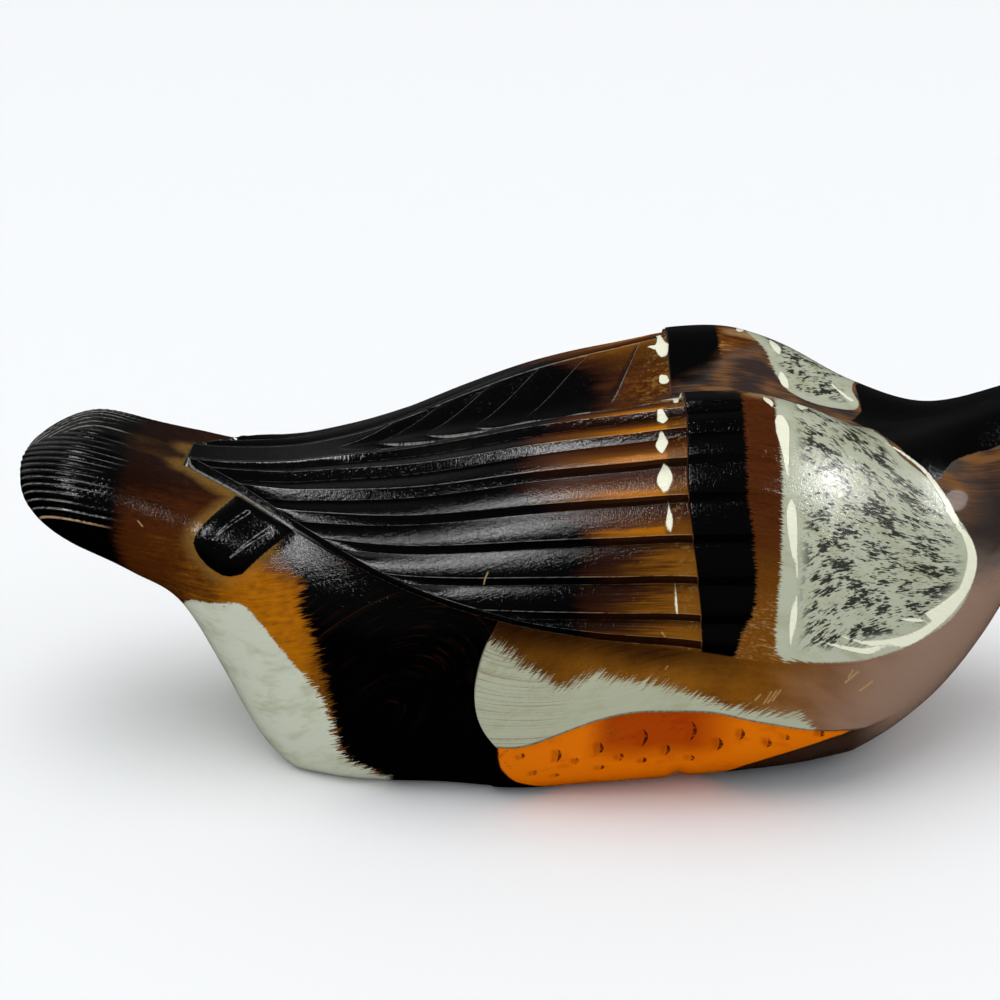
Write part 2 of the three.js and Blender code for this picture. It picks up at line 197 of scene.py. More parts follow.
def blank(x, around):
    """A point of the blank's right side. x runs along the back from the tail. around is 0 at the
    middle of the back, 1 on the wing's ridge, 2 at the widest level, 3 on the edge of the
    underside and 4 under the middle."""
    x, around = np.broadcast_arrays(np.asarray(x, float), np.asarray(around, float))
    share = x / length
    foot_x = x + curve(SECTION_LEAN, share) * length
    top_z = curve(BACK_LINE, share) * height
    foot_z = np.maximum(0, curve(BELLY_LINE, foot_x / length) * height)
    into_bill_end = np.maximum(0, (x - length) / BILL_ROUNDING + 1)
    bill_closing = np.sqrt(np.maximum(0, 1 - into_bill_end**2))
    narrowing = tail_closing(x) * bill_closing
    flattening = tail_closing(x) ** 0.45 * bill_closing

    full = np.hypot(foot_x - x, top_z - foot_z)
    widest = curve(WIDEST_LEVEL, share) * full
    valley = widest + (full - widest) * flattening
    bottom = widest - widest * flattening
    ridge = valley + np.maximum(0, curve(RIDGE_RISE, share)) * height
    half = curve(BREADTH_LINE, share) * breadth / 2 * narrowing
    ridge_y = curve(RIDGE_PLACE, share) * breadth / 2 * narrowing
    floor_y = curve(UNDERSIDE_EDGE, share) * breadth / 2 * narrowing
    square_above = (2.5 - 0.4 * smooth_step(share, 0, 0.133)
                    - 0.1 * smooth_step(share, 0.515, 0.6))
    square_below = (2 + 0.4 * smooth_step(share, 0.12, 0.184)
                    - 0.2 * smooth_step(share, 0.2, 0.28) - 0.2 * smooth_step(share, 0.5, 0.575))

    turn = QUARTER_TURN * (around % 1)
    sine = np.sin(turn)
    cosine = np.maximum(0, np.cos(turn))
    quarters = [around < 1, around < 2, around < 3]
    y = np.select(quarters, [
        ridge_y * around,
        between(ridge_y, half, sine ** (2 / square_above)),
        between(floor_y, half, cosine ** (2 / square_below)),
    ], floor_y * (4 - around))
    level = np.select(quarters, [
        between(valley, ridge, sine**2),
        between(widest, ridge, cosine ** (2 / square_above)),
        between(widest, bottom, sine ** (2 / square_below)),
    ], bottom)
    rise = level / full
    return np.stack([foot_x + (x - foot_x) * rise, -y, foot_z + (top_z - foot_z) * rise], -1)


def inward(x, around):
    """The direction straight into the wood."""
    reach_along = length / 500
    reach_around = 0.02
    forward = (blank(np.minimum(x + reach_along, length * 0.9998), around)
               - blank(np.maximum(x - reach_along, length * 0.0002), around))
    down = (blank(x, np.minimum(around + reach_around, 4))
            - blank(x, np.maximum(around - reach_around, 0)))
    direction = np.cross(forward, down)
    middle = (around <= 0) | (around >= 4)
    direction[..., 1] = np.where(middle, 0, direction[..., 1])
    return direction / np.linalg.norm(direction, axis=-1, keepdims=True)


# The carving: the wings' shingled feathers, the scapular feathers between them, the coverts'
# step, the thighs and the folded feet, all cut into the blank with gouges, knife and V-tool.
WING_TIP = 0.111
SCAPULARS_START = 0.285
THIGH_EDGE = 0.3255
COVERT_EDGE = 0.431
WING_FRONT = 0.5
BREAST = 0.545
BILL_BASE = 0.9
FEATHER_ROWS = 8
FEATHER_CUT = 0.0025
WING_CUT = 0.003
COVERT_CUT = 0.0015
SCAPULAR_FEATHERS = 5
SCAPULAR_CUT = 0.0018
THIGH_CUT = 0.0035
FOOT_CUT = 0.0016
BILL_CUT = 0.0009
CUT_FACE = 0.0024
CROSS_FACE = 0.0007
EDGE_SUPPORT = 0.0004


def wing_edge(x):
    return 1.98 - 1.04 * np.exp(-8.6 * np.maximum(0, x / length - WING_TIP))


def feather_line(k, x):
    """The line below feather row k. Line 0 runs along the top of the first row."""
    if k == FEATHER_ROWS:
        return wing_edge(x)
    spread = 0.93 if k == 0 else 1.06 + 0.86 * (1 - (1 - (k - 1) / (FEATHER_ROWS - 1)) ** 1.25)
    return np.minimum(spread - 0.43 * np.maximum(0, COVERT_EDGE - x / length), wing_edge(x))


def foot_line(x):
    share = x / length
    return 2.34 - 0.2 * smooth_step(share, 0.333, 0.408) + 0.25 * smooth_step(share, 0.426, 0.594)


def row_cut(k, x):
    room = np.clip((wing_edge(x) - feather_line(k, x)) / 0.06, 0, 1)
    return FEATHER_CUT * room * (1 - smooth_step(x / length, 0.45, WING_FRONT))


def covert_cut(x):
    share = x / length
    cut = COVERT_CUT * smooth_step(share, COVERT_EDGE - 0.11, COVERT_EDGE)
    return np.where(share < COVERT_EDGE, cut, 0)


scapular_pitch = (COVERT_EDGE - SCAPULARS_START) / (SCAPULAR_FEATHERS - 0.5)


def scapular_cut(x):
    feather = (x / length - SCAPULARS_START) / scapular_pitch
    among = (feather >= -1) & (feather <= SCAPULAR_FEATHERS - 1)
    return np.where(among, SCAPULAR_CUT * (feather % 1) ** 1.6, 0)


def thigh_cut(x):
    share = x / length
    cut = THIGH_CUT * smooth_step(share, THIGH_EDGE - 0.11, THIGH_EDGE)
    return np.where(share < THIGH_EDGE, cut, 0)


def face_step(x):
    """The width of a cut face, as a step around the section."""
    return CUT_FACE / (0.6 * breadth * curve(BREADTH_LINE, x / length))


# Each column runs the length of the goose. It holds its place around a section, its depth of cut
# and its row: 0 to 1 across the back, k to k + 1 across feather row k, and so on down the side.
columns = []


def edged(steps, tight=0.03):
    """Even shares from 0 to 1, with one more close to each end that keeps the edges crisp."""
    return [0, tight, *np.linspace(0, 1, steps + 1)[1:-1], 1 - tight, 1]


def add_columns(shares, from_line, to_line, depth):
    strip = columns[-1][2] // 1 + 1 if columns else 0
    for share in shares:
        columns.append((
            lambda x, share=share: between(from_line(x), to_line(x), share),
            lambda x, share=share: depth(x, share),
            strip + between(0.01, 0.99, share),
        ))


def back_cut(x, share):
    return covert_cut(x) + scapular_cut(x) * min(1, 3 * share) * min(1, 4 * (1 - share))


def row_depth(k, x, share):
    shingled = row_cut(k - 1, x) * (1 - share) ** 1.5 if k > 1 else 0
    return covert_cut(x) + shingled


add_columns(edged(13), lambda x: 0 * x, lambda x: feather_line(0, x), back_cut)
for k in range(1, FEATHER_ROWS + 1):
    add_columns(
        edged(8),
        lambda x, k=k: np.minimum(feather_line(k - 1, x) + face_step(x), wing_edge(x)),
        lambda x, k=k: feather_line(k, x),
        lambda x, share, k=k: row_depth(k, x, share))


def flank_cut(x, share):
    under_wing = WING_CUT * (1 - smooth_step(x / length, 0.42, WING_FRONT))
    under_wing = under_wing * (1 - smooth_step(share, 0, 0.5))
    return np.maximum(under_wing, thigh_cut(x) * smooth_step(share, -0.3, 0.3))


def foot_cut(x, share):
    reach = x / length
    before_breast = 1 - smooth_step(reach, BREAST - 0.03, BREAST + 0.02)
    under_thigh = np.where(reach < THIGH_EDGE, 0, before_breast)
    below = FOOT_CUT * under_thigh * (1 - share)
    return below + thigh_cut(x) * (1 - smooth_step(share, 0.5, 1))


add_columns(edged(23, 0.012), lambda x: wing_edge(x) + face_step(x), foot_line, flank_cut)
add_columns(edged(19), lambda x: foot_line(x) + face_step(x), lambda x: 3 + 0 * x, foot_cut)
add_columns(edged(2), lambda x: 3 + 0 * x, lambda x: 4 + 0 * x, lambda x, share: 0)

# On the tail and neck, where nothing is carved along the feathers, the columns spread evenly.
EVEN_SPREAD = np.array([[0, 0], [0.11, 1], [0.51, 2], [0.915, 3], [1, 4]])


def leaned(x, around):
    """Rings lean with what is carved: back along the scapular feathers, forwards down the coverts'
    step, and round the thigh."""
    share = x / length
    among = smooth_step(share, 0.14, 0.277) * (1 - smooth_step(share, 0.4, 0.4305))
    swept = 0.0515 * among * np.maximum(0, 1 - around)
    near_step = 1 - smooth_step(np.abs(share - COVERT_EDGE), 0, 0.05)
    slanted = 0.0131 * near_step * smooth_step(around, 1.4, 2.0) * (1 - smooth_step(around, 2.1, 2.5))
    off_thigh = (around - 2.07) / 0.27
    near_thigh = 1 - smooth_step(np.abs(share - THIGH_EDGE), 0, 0.07)
    bulged = 0.016 * near_thigh * np.maximum(0, 1 - off_thigh**2)
    return x - (swept + bulged - slanted) * length


def ring_places():
    """Rings stand closest where the carving is finest, and in tight groups at each cross cut."""
    edges = [share * length for share in (WING_TIP, THIGH_EDGE, COVERT_EDGE, BILL_BASE)]
    edges += [(SCAPULARS_START + n * scapular_pitch) * length for n in range(SCAPULAR_FEATHERS)]
    round_steps = 16
    places = [TAIL_ROUNDING * (1 - math.cos(QUARTER_TURN * n / round_steps))
              for n in range(1, round_steps)]
    spacings = [(0.057, 0.002), (0.1, 0.0012), (0.165, 0.0024), (0.205, 0.0017), (0.27, 0.0015),
                (0.31, 0.0014), (0.4, 0.0034), (length, 0.003)]

    def fill(start, end):
        while start < end:
            reach, spacing = next(zone for zone in spacings if start < zone[0])
            stop = min(end, reach)
            steps = math.ceil((stop - start) / spacing)
            places.extend(np.linspace(start, stop, steps + 1)[:-1])
            start = stop

    start = TAIL_ROUNDING
    for edge in sorted(edges):
        first, last = edge - CROSS_FACE / 2, edge + CROSS_FACE / 2
        if edge - start < 3 * CROSS_FACE:
            continue
        fill(start, first - EDGE_SUPPORT)
        places.extend([first - EDGE_SUPPORT, first, last])
        start = last + EDGE_SUPPORT
    fill(start, length - BILL_ROUNDING)
    places.extend(length - BILL_ROUNDING * (1 - math.sin(QUARTER_TURN * n / round_steps))
                  for n in range(round_steps))
    return np.array(places)


ring_x = ring_places()
even = np.maximum(1 - smooth_step(ring_x / length, 0.03, WING_TIP),
                  smooth_step(ring_x / length, BREAST, 0.62))
ring_count, column_count = len(ring_x), len(columns)
even_around = np.interp(np.arange(column_count) / (column_count - 1), *EVEN_SPREAD.T)
around = np.stack([between(place(ring_x), even_around[j], even)
                   for j, (place, _, _) in enumerate(columns)], 1)
cut = np.stack([depth(ring_x) * np.ones_like(ring_x)
                for _, depth, _ in columns], 1)
on_wood = (ring_x > WING_TIP * length)[:, None]
cut = cut * on_wood * (1 - even[:, None])
share_x = (ring_x / length)[:, None]
tip_x = WING_TIP * length
tip_low = wing_edge(tip_x) + face_step(tip_x)
tip_fade = 1 - smooth_step(around, tip_low, between(tip_low, foot_line(tip_x), 0.5))
behind_tip = smooth_step(share_x, WING_TIP - 0.07, WING_TIP) * tip_fade
cut += np.where(on_wood, 0, WING_CUT * behind_tip * (around < 3))
cut += np.where(share_x > BILL_BASE, BILL_CUT * (1 - smooth_step(share_x, BILL_BASE, 0.96)), 0)
along = leaned(ring_x[:, None] + 0 * around, around)
into_wood = inward(along, around)


# The map of the surface, for whatever is drawn on it by its place: along is the distance from
# the tail and girth the distance round from the middle of the back, both in millimetres.
MM = 0.001
PAST_MIDDLE = 30
map_x = np.linspace(length * 0.001, length * 0.999, 400)
map_around = np.linspace(0, 4, 641)
map_steps = np.linalg.norm(np.diff(blank(map_x[:, None], map_around[None, :]), axis=1), axis=2)
map_girth = np.concatenate([np.zeros((len(map_x), 1)), np.cumsum(map_steps, 1)], 1) / MM


def girth_at(x, place):
    column = np.clip((x - map_x[0]) / (map_x[1] - map_x[0]), 0, len(map_x) - 1.001)
    row = np.clip(place / (map_around[1] - map_around[0]), 0, len(map_around) - 1.001)
    i, j = column.astype(int), row.astype(int)
    s, t = column - i, row - j
    return ((1 - s) * ((1 - t) * map_girth[i, j] + t * map_girth[i, j + 1])
            + s * ((1 - t) * map_girth[i + 1, j] + t * map_girth[i + 1, j + 1]))


def on_map(points):
    """Points given as (millimetres from the tail, place around) on the map."""
    points = np.array(points, float)
    place = np.clip(points[:, 1], 0, 4)
    past_middle = (points[:, 1] - place) * PAST_MIDDLE
    return np.stack([points[:, 0], girth_at(points[:, 0] * MM, place) + past_middle], 1)


def soft_line(knots, closed=False, steps=5):
    """A smooth curve through given knots, a Catmull-Rom spline."""
    knots = np.array(knots, float)
    before, after, last = np.roll(knots, 1, 0), np.roll(knots, -1, 0), np.roll(knots, -2, 0)
    if not closed:
        before[0], after[-1], last[-2] = knots[0], knots[-1], knots[-1]
    t = np.arange(steps)[:, None] / steps
    spans = [
        (2 * b + (c - a) * t + (2 * a - 5 * b + 4 * c - d) * t**2 + (3 * b - a - 3 * c + d) * t**3) / 2
        for a, b, c, d in zip(before, knots, after, last)]
    return np.concatenate(spans if closed else spans[:-1] + [knots[-1:]])


girth = girth_at(along, around)
surface = np.stack([along / MM, girth], -1)


def within(outline, points=surface):
    """Millimetres inside a closed outline on the map, below 0 outside it."""
    corners = on_map(outline)
    depth = np.full(points.shape[:2], np.inf)
    inside = np.zeros(points.shape[:2], bool)
    for (ax, ay), (bx, by) in zip(corners, np.roll(corners, -1, 0)):
        run = np.array([bx - ax, by - ay])
        off = points - (ax, ay)
        t = np.clip(off @ run / (run @ run), 0, 1)
        depth = np.minimum(depth, np.linalg.norm(off - t[..., None] * run, axis=-1))
        crosses = (ay > points[..., 1]) != (by > points[..., 1])
        level = (points[..., 1] - ay) / (by - ay if by != ay else 1)
        inside ^= crosses & (points[..., 0] < ax + run[0] * level)
    return np.where(inside, depth, -depth)


def stroked(strokes, points=surface):
    """Millimetres inside the nearest stroke. Each is a list of (millimetres from the tail,
    place around, half of the stroke's width there in millimetres)."""
    depth = np.full(points.shape[:2], -50.0)
    for stroke in strokes:
        stroke = soft_line(stroke)
        path = on_map(stroke[:, :2])
        widths = stroke[:, 2]
        for a, b, wide_a, wide_b in zip(path, path[1:], widths, widths[1:]):
            off = points - a
            t = np.clip(off @ (b - a) / ((b - a) @ (b - a)), 0, 1)
            gap = np.linalg.norm(off - t[..., None] * (b - a), axis=-1)
            depth = np.maximum(depth, between(wide_a, wide_b, t) - gap)
    return depth


# The short feather under each wing's edge, and the webbed foot's notch and scale gouges.
SIDE_FEATHER = [
    (75.2, 1.29), (70.7, 1.475), (64.6, 1.76), (63.6, 1.85), (65.0, 1.94), (68.0, 1.985),
    (71.5, 1.99), (75.2, 1.95), (79.5, 1.86), (85.7, 1.669), (94.2, 1.478),
]
SIDE_FEATHER_RISE = 0.0015
VEIN_DEPTH = 0.0009
VEIN_WIDTHS = (0.85, 0.15)
VEIN_ENDS = [((79.5, 1.43), (69.8, 1.75)), ((87.0, 1.51), (76.0, 1.8))]
side_feather = within(SIDE_FEATHER)
vein = stroked([[(*start, VEIN_WIDTHS[0]), (*end, VEIN_WIDTHS[1])] for start, end in VEIN_ENDS])
below_wing = (around - wing_edge(along)) > -0.02
cut -= SIDE_FEATHER_RISE * smooth_step(side_feather, -0.7, 0.9) * below_wing
cut += VEIN_DEPTH * smooth_step(vein, -0.4, 0.9) * below_wing

# Each scale of the foot is (millimetres from the tail, place around, half of its height).
FOOT_SCALES = [
    (173.2, 2.414, 1.6), (184.7, 2.406, 3.2), (190.2, 2.448, 1.8), (197.2, 2.36, 3.4),
    (203.6, 2.423, 2.2), (210.1, 2.293, 4.0), (217.1, 2.377, 2.8), (224.1, 2.259, 4.6),
    (232.1, 2.347, 3.4), (238.1, 2.285, 2.8), (246.1, 2.36, 2.6), (261.1, 2.326, 2.4),
    (177.7, 2.556, 1.4), (184.7, 2.586, 1.4), (198.2, 2.51, 1.6), (210.6, 2.456, 1.8),
    (224.6, 2.452, 1.8), (251.1, 2.326, 1.5),
]
SCALE_BOW = 0.3
GOUGE_REACH = 1.3
GOUGE_DEPTH = 0.0004
NOTCH_PLACE = 221.5
NOTCH_HALF_WIDTH = 3.5
NOTCH_DEPTH = 0.0012
scale_spots = on_map([scale[:2] for scale in FOOT_SCALES])
scale_heights = np.array([scale[2] for scale in FOOT_SCALES])
into_gouge = np.full(around.shape, -50.0)
for (spot_u, spot_w), half_height in zip(scale_spots, scale_heights):
    rise = np.abs(surface[..., 1] - spot_w) / half_height
    behind_line = spot_u - SCALE_BOW * half_height * rise**2 - surface[..., 0]
    inside = np.minimum(behind_line, GOUGE_REACH * 2 - behind_line)
    into_gouge = np.maximum(into_gouge, np.minimum(inside, (1 - rise) * half_height))
cut += GOUGE_DEPTH * smooth_step(into_gouge, -0.4, 1.1)
notch = 1 - np.abs(along / MM - NOTCH_PLACE) / NOTCH_HALF_WIDTH
cut += NOTCH_DEPTH * np.clip(notch, 0, 1) * smooth_step(around, 2.35, 2.7) * (around < 3.3)


# The solid bird. The right side's rings and columns are mirrored to the left, the two meet along
# the middle of the back and of the underside, and the tail and bill close on a point.
surface_points = blank(along, around) + into_wood * cut[..., None]
surface_points[..., 0] -= length / 2
surface_points[..., 2] = np.maximum(0, surface_points[..., 2])
surface_points[:, [0, -1], 1] = 0

right = np.arange(ring_count * column_count).reshape(ring_count, column_count)
left = right.copy()
left_free = np.arange(ring_count * (column_count - 2)).reshape(ring_count, -1)
left[:, 1:-1] = right.size + left_free
ends = [right.size + left_free.size, right.size + left_free.size + 1]


def both_sides(values, tail_end, bill_end, mirror=1):
    """One value or vector for each vertex, from the right side's grid."""
    values = np.asarray(values, float)
    flipped = values[:, 1:-1] * mirror
    flat = values.shape[2:]
    return np.concatenate([values.reshape(-1, *flat), flipped.reshape(-1, *flat),
                           np.array([tail_end, bill_end], float).reshape(2, *flat)])


mirror_y = np.array([1, -1, 1])
tips = [blank(np.array(x), np.array(0.0)) - (length / 2, 0, 0) for x in (0.0, length)]
vertices = both_sides(surface_points, *tips, mirror=mirror_y)

faces = []
for side, grid in ((1, right), (-1, left)):
    quads = np.stack([grid[:-1, :-1], grid[:-1, 1:], grid[1:, 1:], grid[1:, :-1]], -1).reshape(-1, 4)
    tail_fan = np.stack([np.full(column_count - 1, ends[0]), grid[0, 1:], grid[0, :-1]], -1)
    bill_fan = np.stack([np.full(column_count - 1, ends[1]), grid[-1, :-1], grid[-1, 1:]], -1)
    for group in (quads, tail_fan, bill_fan):
        faces += (group if side > 0 else group[:, ::-1]).tolist()

goose_mesh = bpy.data.meshes.new("goose")
goose_mesh.from_pydata(vertices.tolist(), [], faces)
goose_mesh.shade_smooth()

# The left side's third number sets its random marks apart from the right side's.
side_shift = 40
no_shift, shifted = np.zeros(right.size), np.full(left_free.size, side_shift)
surface_map = np.column_stack([both_sides(surface, (0, 0), (length / MM, 0)),
                               np.concatenate([no_shift, shifted, [0, 0]])])


def keep(name, values):
    """Stores a number or vector for each vertex, under a name for the trees and the paint."""
    kind, field = ("FLOAT_VECTOR", "vector") if values.ndim == 2 else ("FLOAT", "value")
    layer = goose_mesh.attributes.new(name, kind, "POINT")
    layer.data.foreach_set(field, values.astype(np.float32).ravel())


def keep_sides(name, values):
    keep(name, both_sides(values, values[0, 0], values[-1, 0]))


keep("surface", surface_map)
keep("into_wood", both_sides(into_wood, (1, 0, 0), (-1, 0, 0), mirror=mirror_y))


# The fine tool marks. A V-tool cuts the tail's barbs, at an even pitch and each to its own length,
# and the gouge leaves low ripples everywhere else.
class Reading:
    """A number that changes over the goose, held by a socket of a node tree."""

    def __init__(self, tree, socket):
        self.tree = tree
        self.socket = socket

    def reckon(self, operation, *numbers, clamp=False):
        settings = {"operation": operation, "use_clamp": clamp}
        return add_node(self.tree, "ShaderNodeMath", settings, numbers)

    def __add__(self, other):
        return self.reckon("ADD", self, other)

    def __radd__(self, other):
        return self.reckon("ADD", other, self)

    def __sub__(self, other):
        return self.reckon("SUBTRACT", self, other)

    def __rsub__(self, other):
        return self.reckon("SUBTRACT", other, self)

    def __mul__(self, other):
        return self.reckon("MULTIPLY", self, other)

    def __rmul__(self, other):
        return self.reckon("MULTIPLY", other, self)

    def __truediv__(self, other):
        return self.reckon("DIVIDE", self, other)

    def __rtruediv__(self, other):
        return self.reckon("DIVIDE", other, self)

    def __abs__(self):
        return self.reckon("ABSOLUTE", self)

    def most(self, other):
        return self.reckon("MAXIMUM", self, other)

    def least(self, other):
        return self.reckon("MINIMUM", self, other)

    def held(self):
        """Kept between 0 and 1."""
        return self.reckon("ADD", self, 0, clamp=True)


def add_node(tree, kind, settings=None, sockets=(), output=0):
    """Adds a node, its settings first and then the value or link of each of its sockets."""
    node = tree.nodes.new(kind)
    for name, value in (settings or {}).items():
        setattr(node, name, value)
    for key, value in sockets.items() if isinstance(sockets, dict) else enumerate(sockets):
        if isinstance(value, Reading):
            tree.links.new(value.socket, node.inputs[key])
        else:
            node.inputs[key].default_value = value
    return Reading(tree, node.outputs[output])


def ramp(value, low, high):
    """0 below low and 1 above high, with a smooth step between."""
    settings = {"interpolation_type": "SMOOTHSTEP", "clamp": False}
    return add_node(value.tree, "ShaderNodeMapRange", settings, [value, low, high, 0, 1])


def fall(value, low, high):
    """1 below low and 0 above high."""
    settings = {"interpolation_type": "SMOOTHSTEP", "clamp": False}
    return add_node(value.tree, "ShaderNodeMapRange", settings, [value, low, high, 1, 0])


BARB_PITCH = 2.6
BARB_DEPTH = 0.5
BARB_WIDTH = 0.9
BARB_LENGTHS = (27, 41)
BARB_TILT = math.radians(35)
LAST_BARB = [(11.3, 2.172), (36.8, 1.936)]
BARBED_SIDE_END = 2.4
NO_BARB = 5
RIPPLE_DEPTH = 0.05
RIPPLE_LENGTH = 9
MARKS_SEED = 7

# Every barb is cut straight along the tail and runs out over its rounded end. They lie evenly
# down the tail's slope, so they're placed by how far a point stands above the last and lowest one.
def down_slope(points):
    return (-points[..., 1] * math.sin(BARB_TILT) - points[..., 2] * math.cos(BARB_TILT)) / MM


last_barb = blank(*np.array(LAST_BARB).T * [[MM], [1]])
first_down, second_down = down_slope(last_barb)
barb_slant = (second_down - first_down) / (last_barb[1, 0] - last_barb[0, 0])
wood_points = blank(along, around)
below_last = (down_slope(wood_points) - first_down
              - barb_slant * (wood_points[..., 0] - last_barb[0, 0]))
keep_sides("barb_place", np.where(around < BARBED_SIDE_END, below_last, NO_BARB))

marks = bpy.data.node_groups.new("tool_marks", "GeometryNodeTree")
marks.interface.new_socket("Goose", in_out="INPUT", socket_type="NodeSocketGeometry")
mark_sizes = {"Barb pitch": BARB_PITCH, "Barb depth": BARB_DEPTH, "Barb width": BARB_WIDTH,
              "Shortest barb": BARB_LENGTHS[0], "Longest barb": BARB_LENGTHS[1],
              "Ripple depth": RIPPLE_DEPTH, "Ripple length": RIPPLE_LENGTH}
for name in mark_sizes:
    marks.interface.new_socket(name, in_out="INPUT", socket_type="NodeSocketFloat")
marks.interface.new_socket("Paint", in_out="INPUT", socket_type="NodeSocketMaterial")
marks.interface.new_socket("Goose", in_out="OUTPUT", socket_type="NodeSocketGeometry")
given = marks.nodes.new("NodeGroupInput")
size = {socket.name: Reading(marks, socket) for socket in given.outputs if socket.name}


def named(name, kind="FLOAT"):
    return add_node(marks, "GeometryNodeInputNamedAttribute", {"data_type": kind}, {"Name": name})


surface_vector = named("surface", "FLOAT_VECTOR")
mark_along = add_node(marks, "ShaderNodeSeparateXYZ", {}, [surface_vector])
in_pitches = named("barb_place") / size["Barb pitch"]
barb_number = in_pitches.reckon("ROUND", in_pitches)
off_barb = abs(in_pitches - barb_number) * 2
barb_end = add_node(
    marks, "FunctionNodeRandomValue", {"data_type": "FLOAT"},
    {2: size["Shortest barb"], 3: size["Longest barb"], "ID": barb_number, "Seed": MARKS_SEED},
    output=1)
barb_shape = (1 - off_barb / size["Barb width"]).most(0)
barb_fade = ramp(barb_end - mark_along, 0, 9) * ramp(BARB_PITCH / 2 - named("barb_place"), 0, 0.6)
barbs = barb_shape * barb_fade * size["Barb depth"]

ripple_place = add_node(marks, "ShaderNodeVectorMath", {"operation": "MULTIPLY"},
                        [surface_vector, (0.35, 1, 1)])
ripples = add_node(marks, "ShaderNodeTexNoise", {}, {"Vector": ripple_place,
                   "Scale": 1 / size["Ripple length"], "Detail": 1.5})
depth_mm = barbs + ripples * size["Ripple depth"] * 2
push = add_node(marks, "ShaderNodeVectorMath", {"operation": "SCALE"},
                {0: named("into_wood", "FLOAT_VECTOR"), "Scale": depth_mm * MM})
moved = add_node(marks, "GeometryNodeSetPosition", {}, {"Geometry": size["Goose"], "Offset": push})
known = add_node(marks, "GeometryNodeStoreNamedAttribute", {"data_type": "FLOAT"},
                 {"Geometry": moved, "Name": "barb_reach", "Value": barb_fade})
real = add_node(marks, "GeometryNodeRealizeInstances", {}, {"Geometry": known})
coated = add_node(marks, "GeometryNodeSetMaterial", {}, {"Geometry": real,
                  "Material": size["Paint"]})
marks.links.new(coated.socket, marks.nodes.new("NodeGroupOutput").inputs[0])


# The painter's lines: where each colour ends and where the brushed strokes run, traced over the
# carving. Points are (millimetres from the tail, place around the section).
SHOULDER_PATCH = [
    (246.6, 1.0), (246.5, 1.4), (246.0, 1.69), (245.3, 1.93), (252.6, 1.96), (264.1, 1.97),
    (272.1, 1.977), (280.6, 2.0), (289.1, 2.046), (296.6, 2.079), (301.6, 2.046), (304.6, 1.936),
    (304.1, 1.789), (301.6, 1.645), (298.6, 1.488), (294.6, 1.365), (287.6, 1.194), (284, 1.0),
    (282, 0.7), (283, 0.5), (282, 0.36), (279, 0.278), (268.6, 0.203), (261.6, 0.228),
    (257.1, 0.316), (254.6, 0.456), (253.1, 0.595), (252.1, 0.747),
]
RUMP_PATCH = [
    (61.3, 2.331), (68.2, 2.188), (77.2, 2.05), (82.2, 2.029), (86.2, 2.038), (92.2, 2.071),
    (99.2, 2.121), (104.2, 2.167), (107.7, 2.23), (110.2, 2.326), (112.2, 2.444), (114.7, 2.556),
    (120.7, 2.611), (127.2, 2.75), (131, 3), (132, 4.5), (52, 4.5), (54, 3), (57, 2.6),
]
REAR_BLACK = [
    (86, 1.2), (91, 1.45), (90.7, 1.595), (94.7, 1.669), (98.7, 1.769), (98.7, 1.866),
    (103.2, 1.99), (105.7, 2.071), (108, 2.155), (111, 2.326), (113, 2.444), (115, 2.556),
    (120, 2.611), (127, 2.75), (131, 3), (132, 4.5), (185, 4.5), (185, 1.2),
]
THIGH_SAGE = [
    (157, 1.9), (165.2, 1.936), (170.2, 1.973), (178.2, 2.008), (183.7, 2.04), (191.7, 1.997),
    (200.6, 2.012), (208.1, 2.017), (218.6, 2.046), (230.1, 2.1), (237.6, 2.136), (254, 2.178),
    (248, 2.4), (145, 2.6), (145, 1.9),
]
FOOT = [
    (164.4, 1.9), (252, 1.9), (262.1, 2.226), (271.5, 2.33), (266.6, 2.365), (260, 2.4), (250, 2.47),
    (240, 2.58), (232, 2.8), (222, 3.05), (210, 3.1), (192, 3.06), (182, 2.83), (176.2, 2.74),
    (171.7, 2.68), (168.7, 2.6), (166.2, 2.52), (165.2, 2.44), (164.5, 2.34),
]
# The strokes also give half of the brush's width at each point.
TEARDROPS = [
    [(210.4, 0.79, 0.3), (211.6, 0.79, 0.8), (213.6, 0.785, 0.3)],
    [(209.7, 1.06, 1.0), (210.0, 1.1, 1.8), (210.4, 1.15, 0.5)],
    [(209.5, 1.22, 0.9), (209.6, 1.26, 1.9), (209.6, 1.285, 1.6), (209.7, 1.32, 0.3)],
    [(210.5, 1.36, 0.2), (210.6, 1.39, 1.5), (210.7, 1.425, 2.4), (210.9, 1.45, 1.6),
     (211.1, 1.485, 0.2)],
    [(212.3, 1.505, 0.15), (212.4, 1.54, 0.5), (212.5, 1.575, 1.1), (212.6, 1.605, 0.6),
     (212.7, 1.62, 0.1)],
    [(215.0, 1.76, 0.1), (215.5, 1.81, 0.6), (216.2, 1.845, 0.2)],
    [(215.0, 0.99, 0.8), (215.4, 0.86, 1.2), (215.7, 0.73, 2.3), (215.9, 0.65, 1.7),
     (216.0, 0.58, 0.2)],
    [(215.4, 0.36, 1.1), (215.6, 0.31, 1.9), (216.0, 0.25, 0.8)],
]
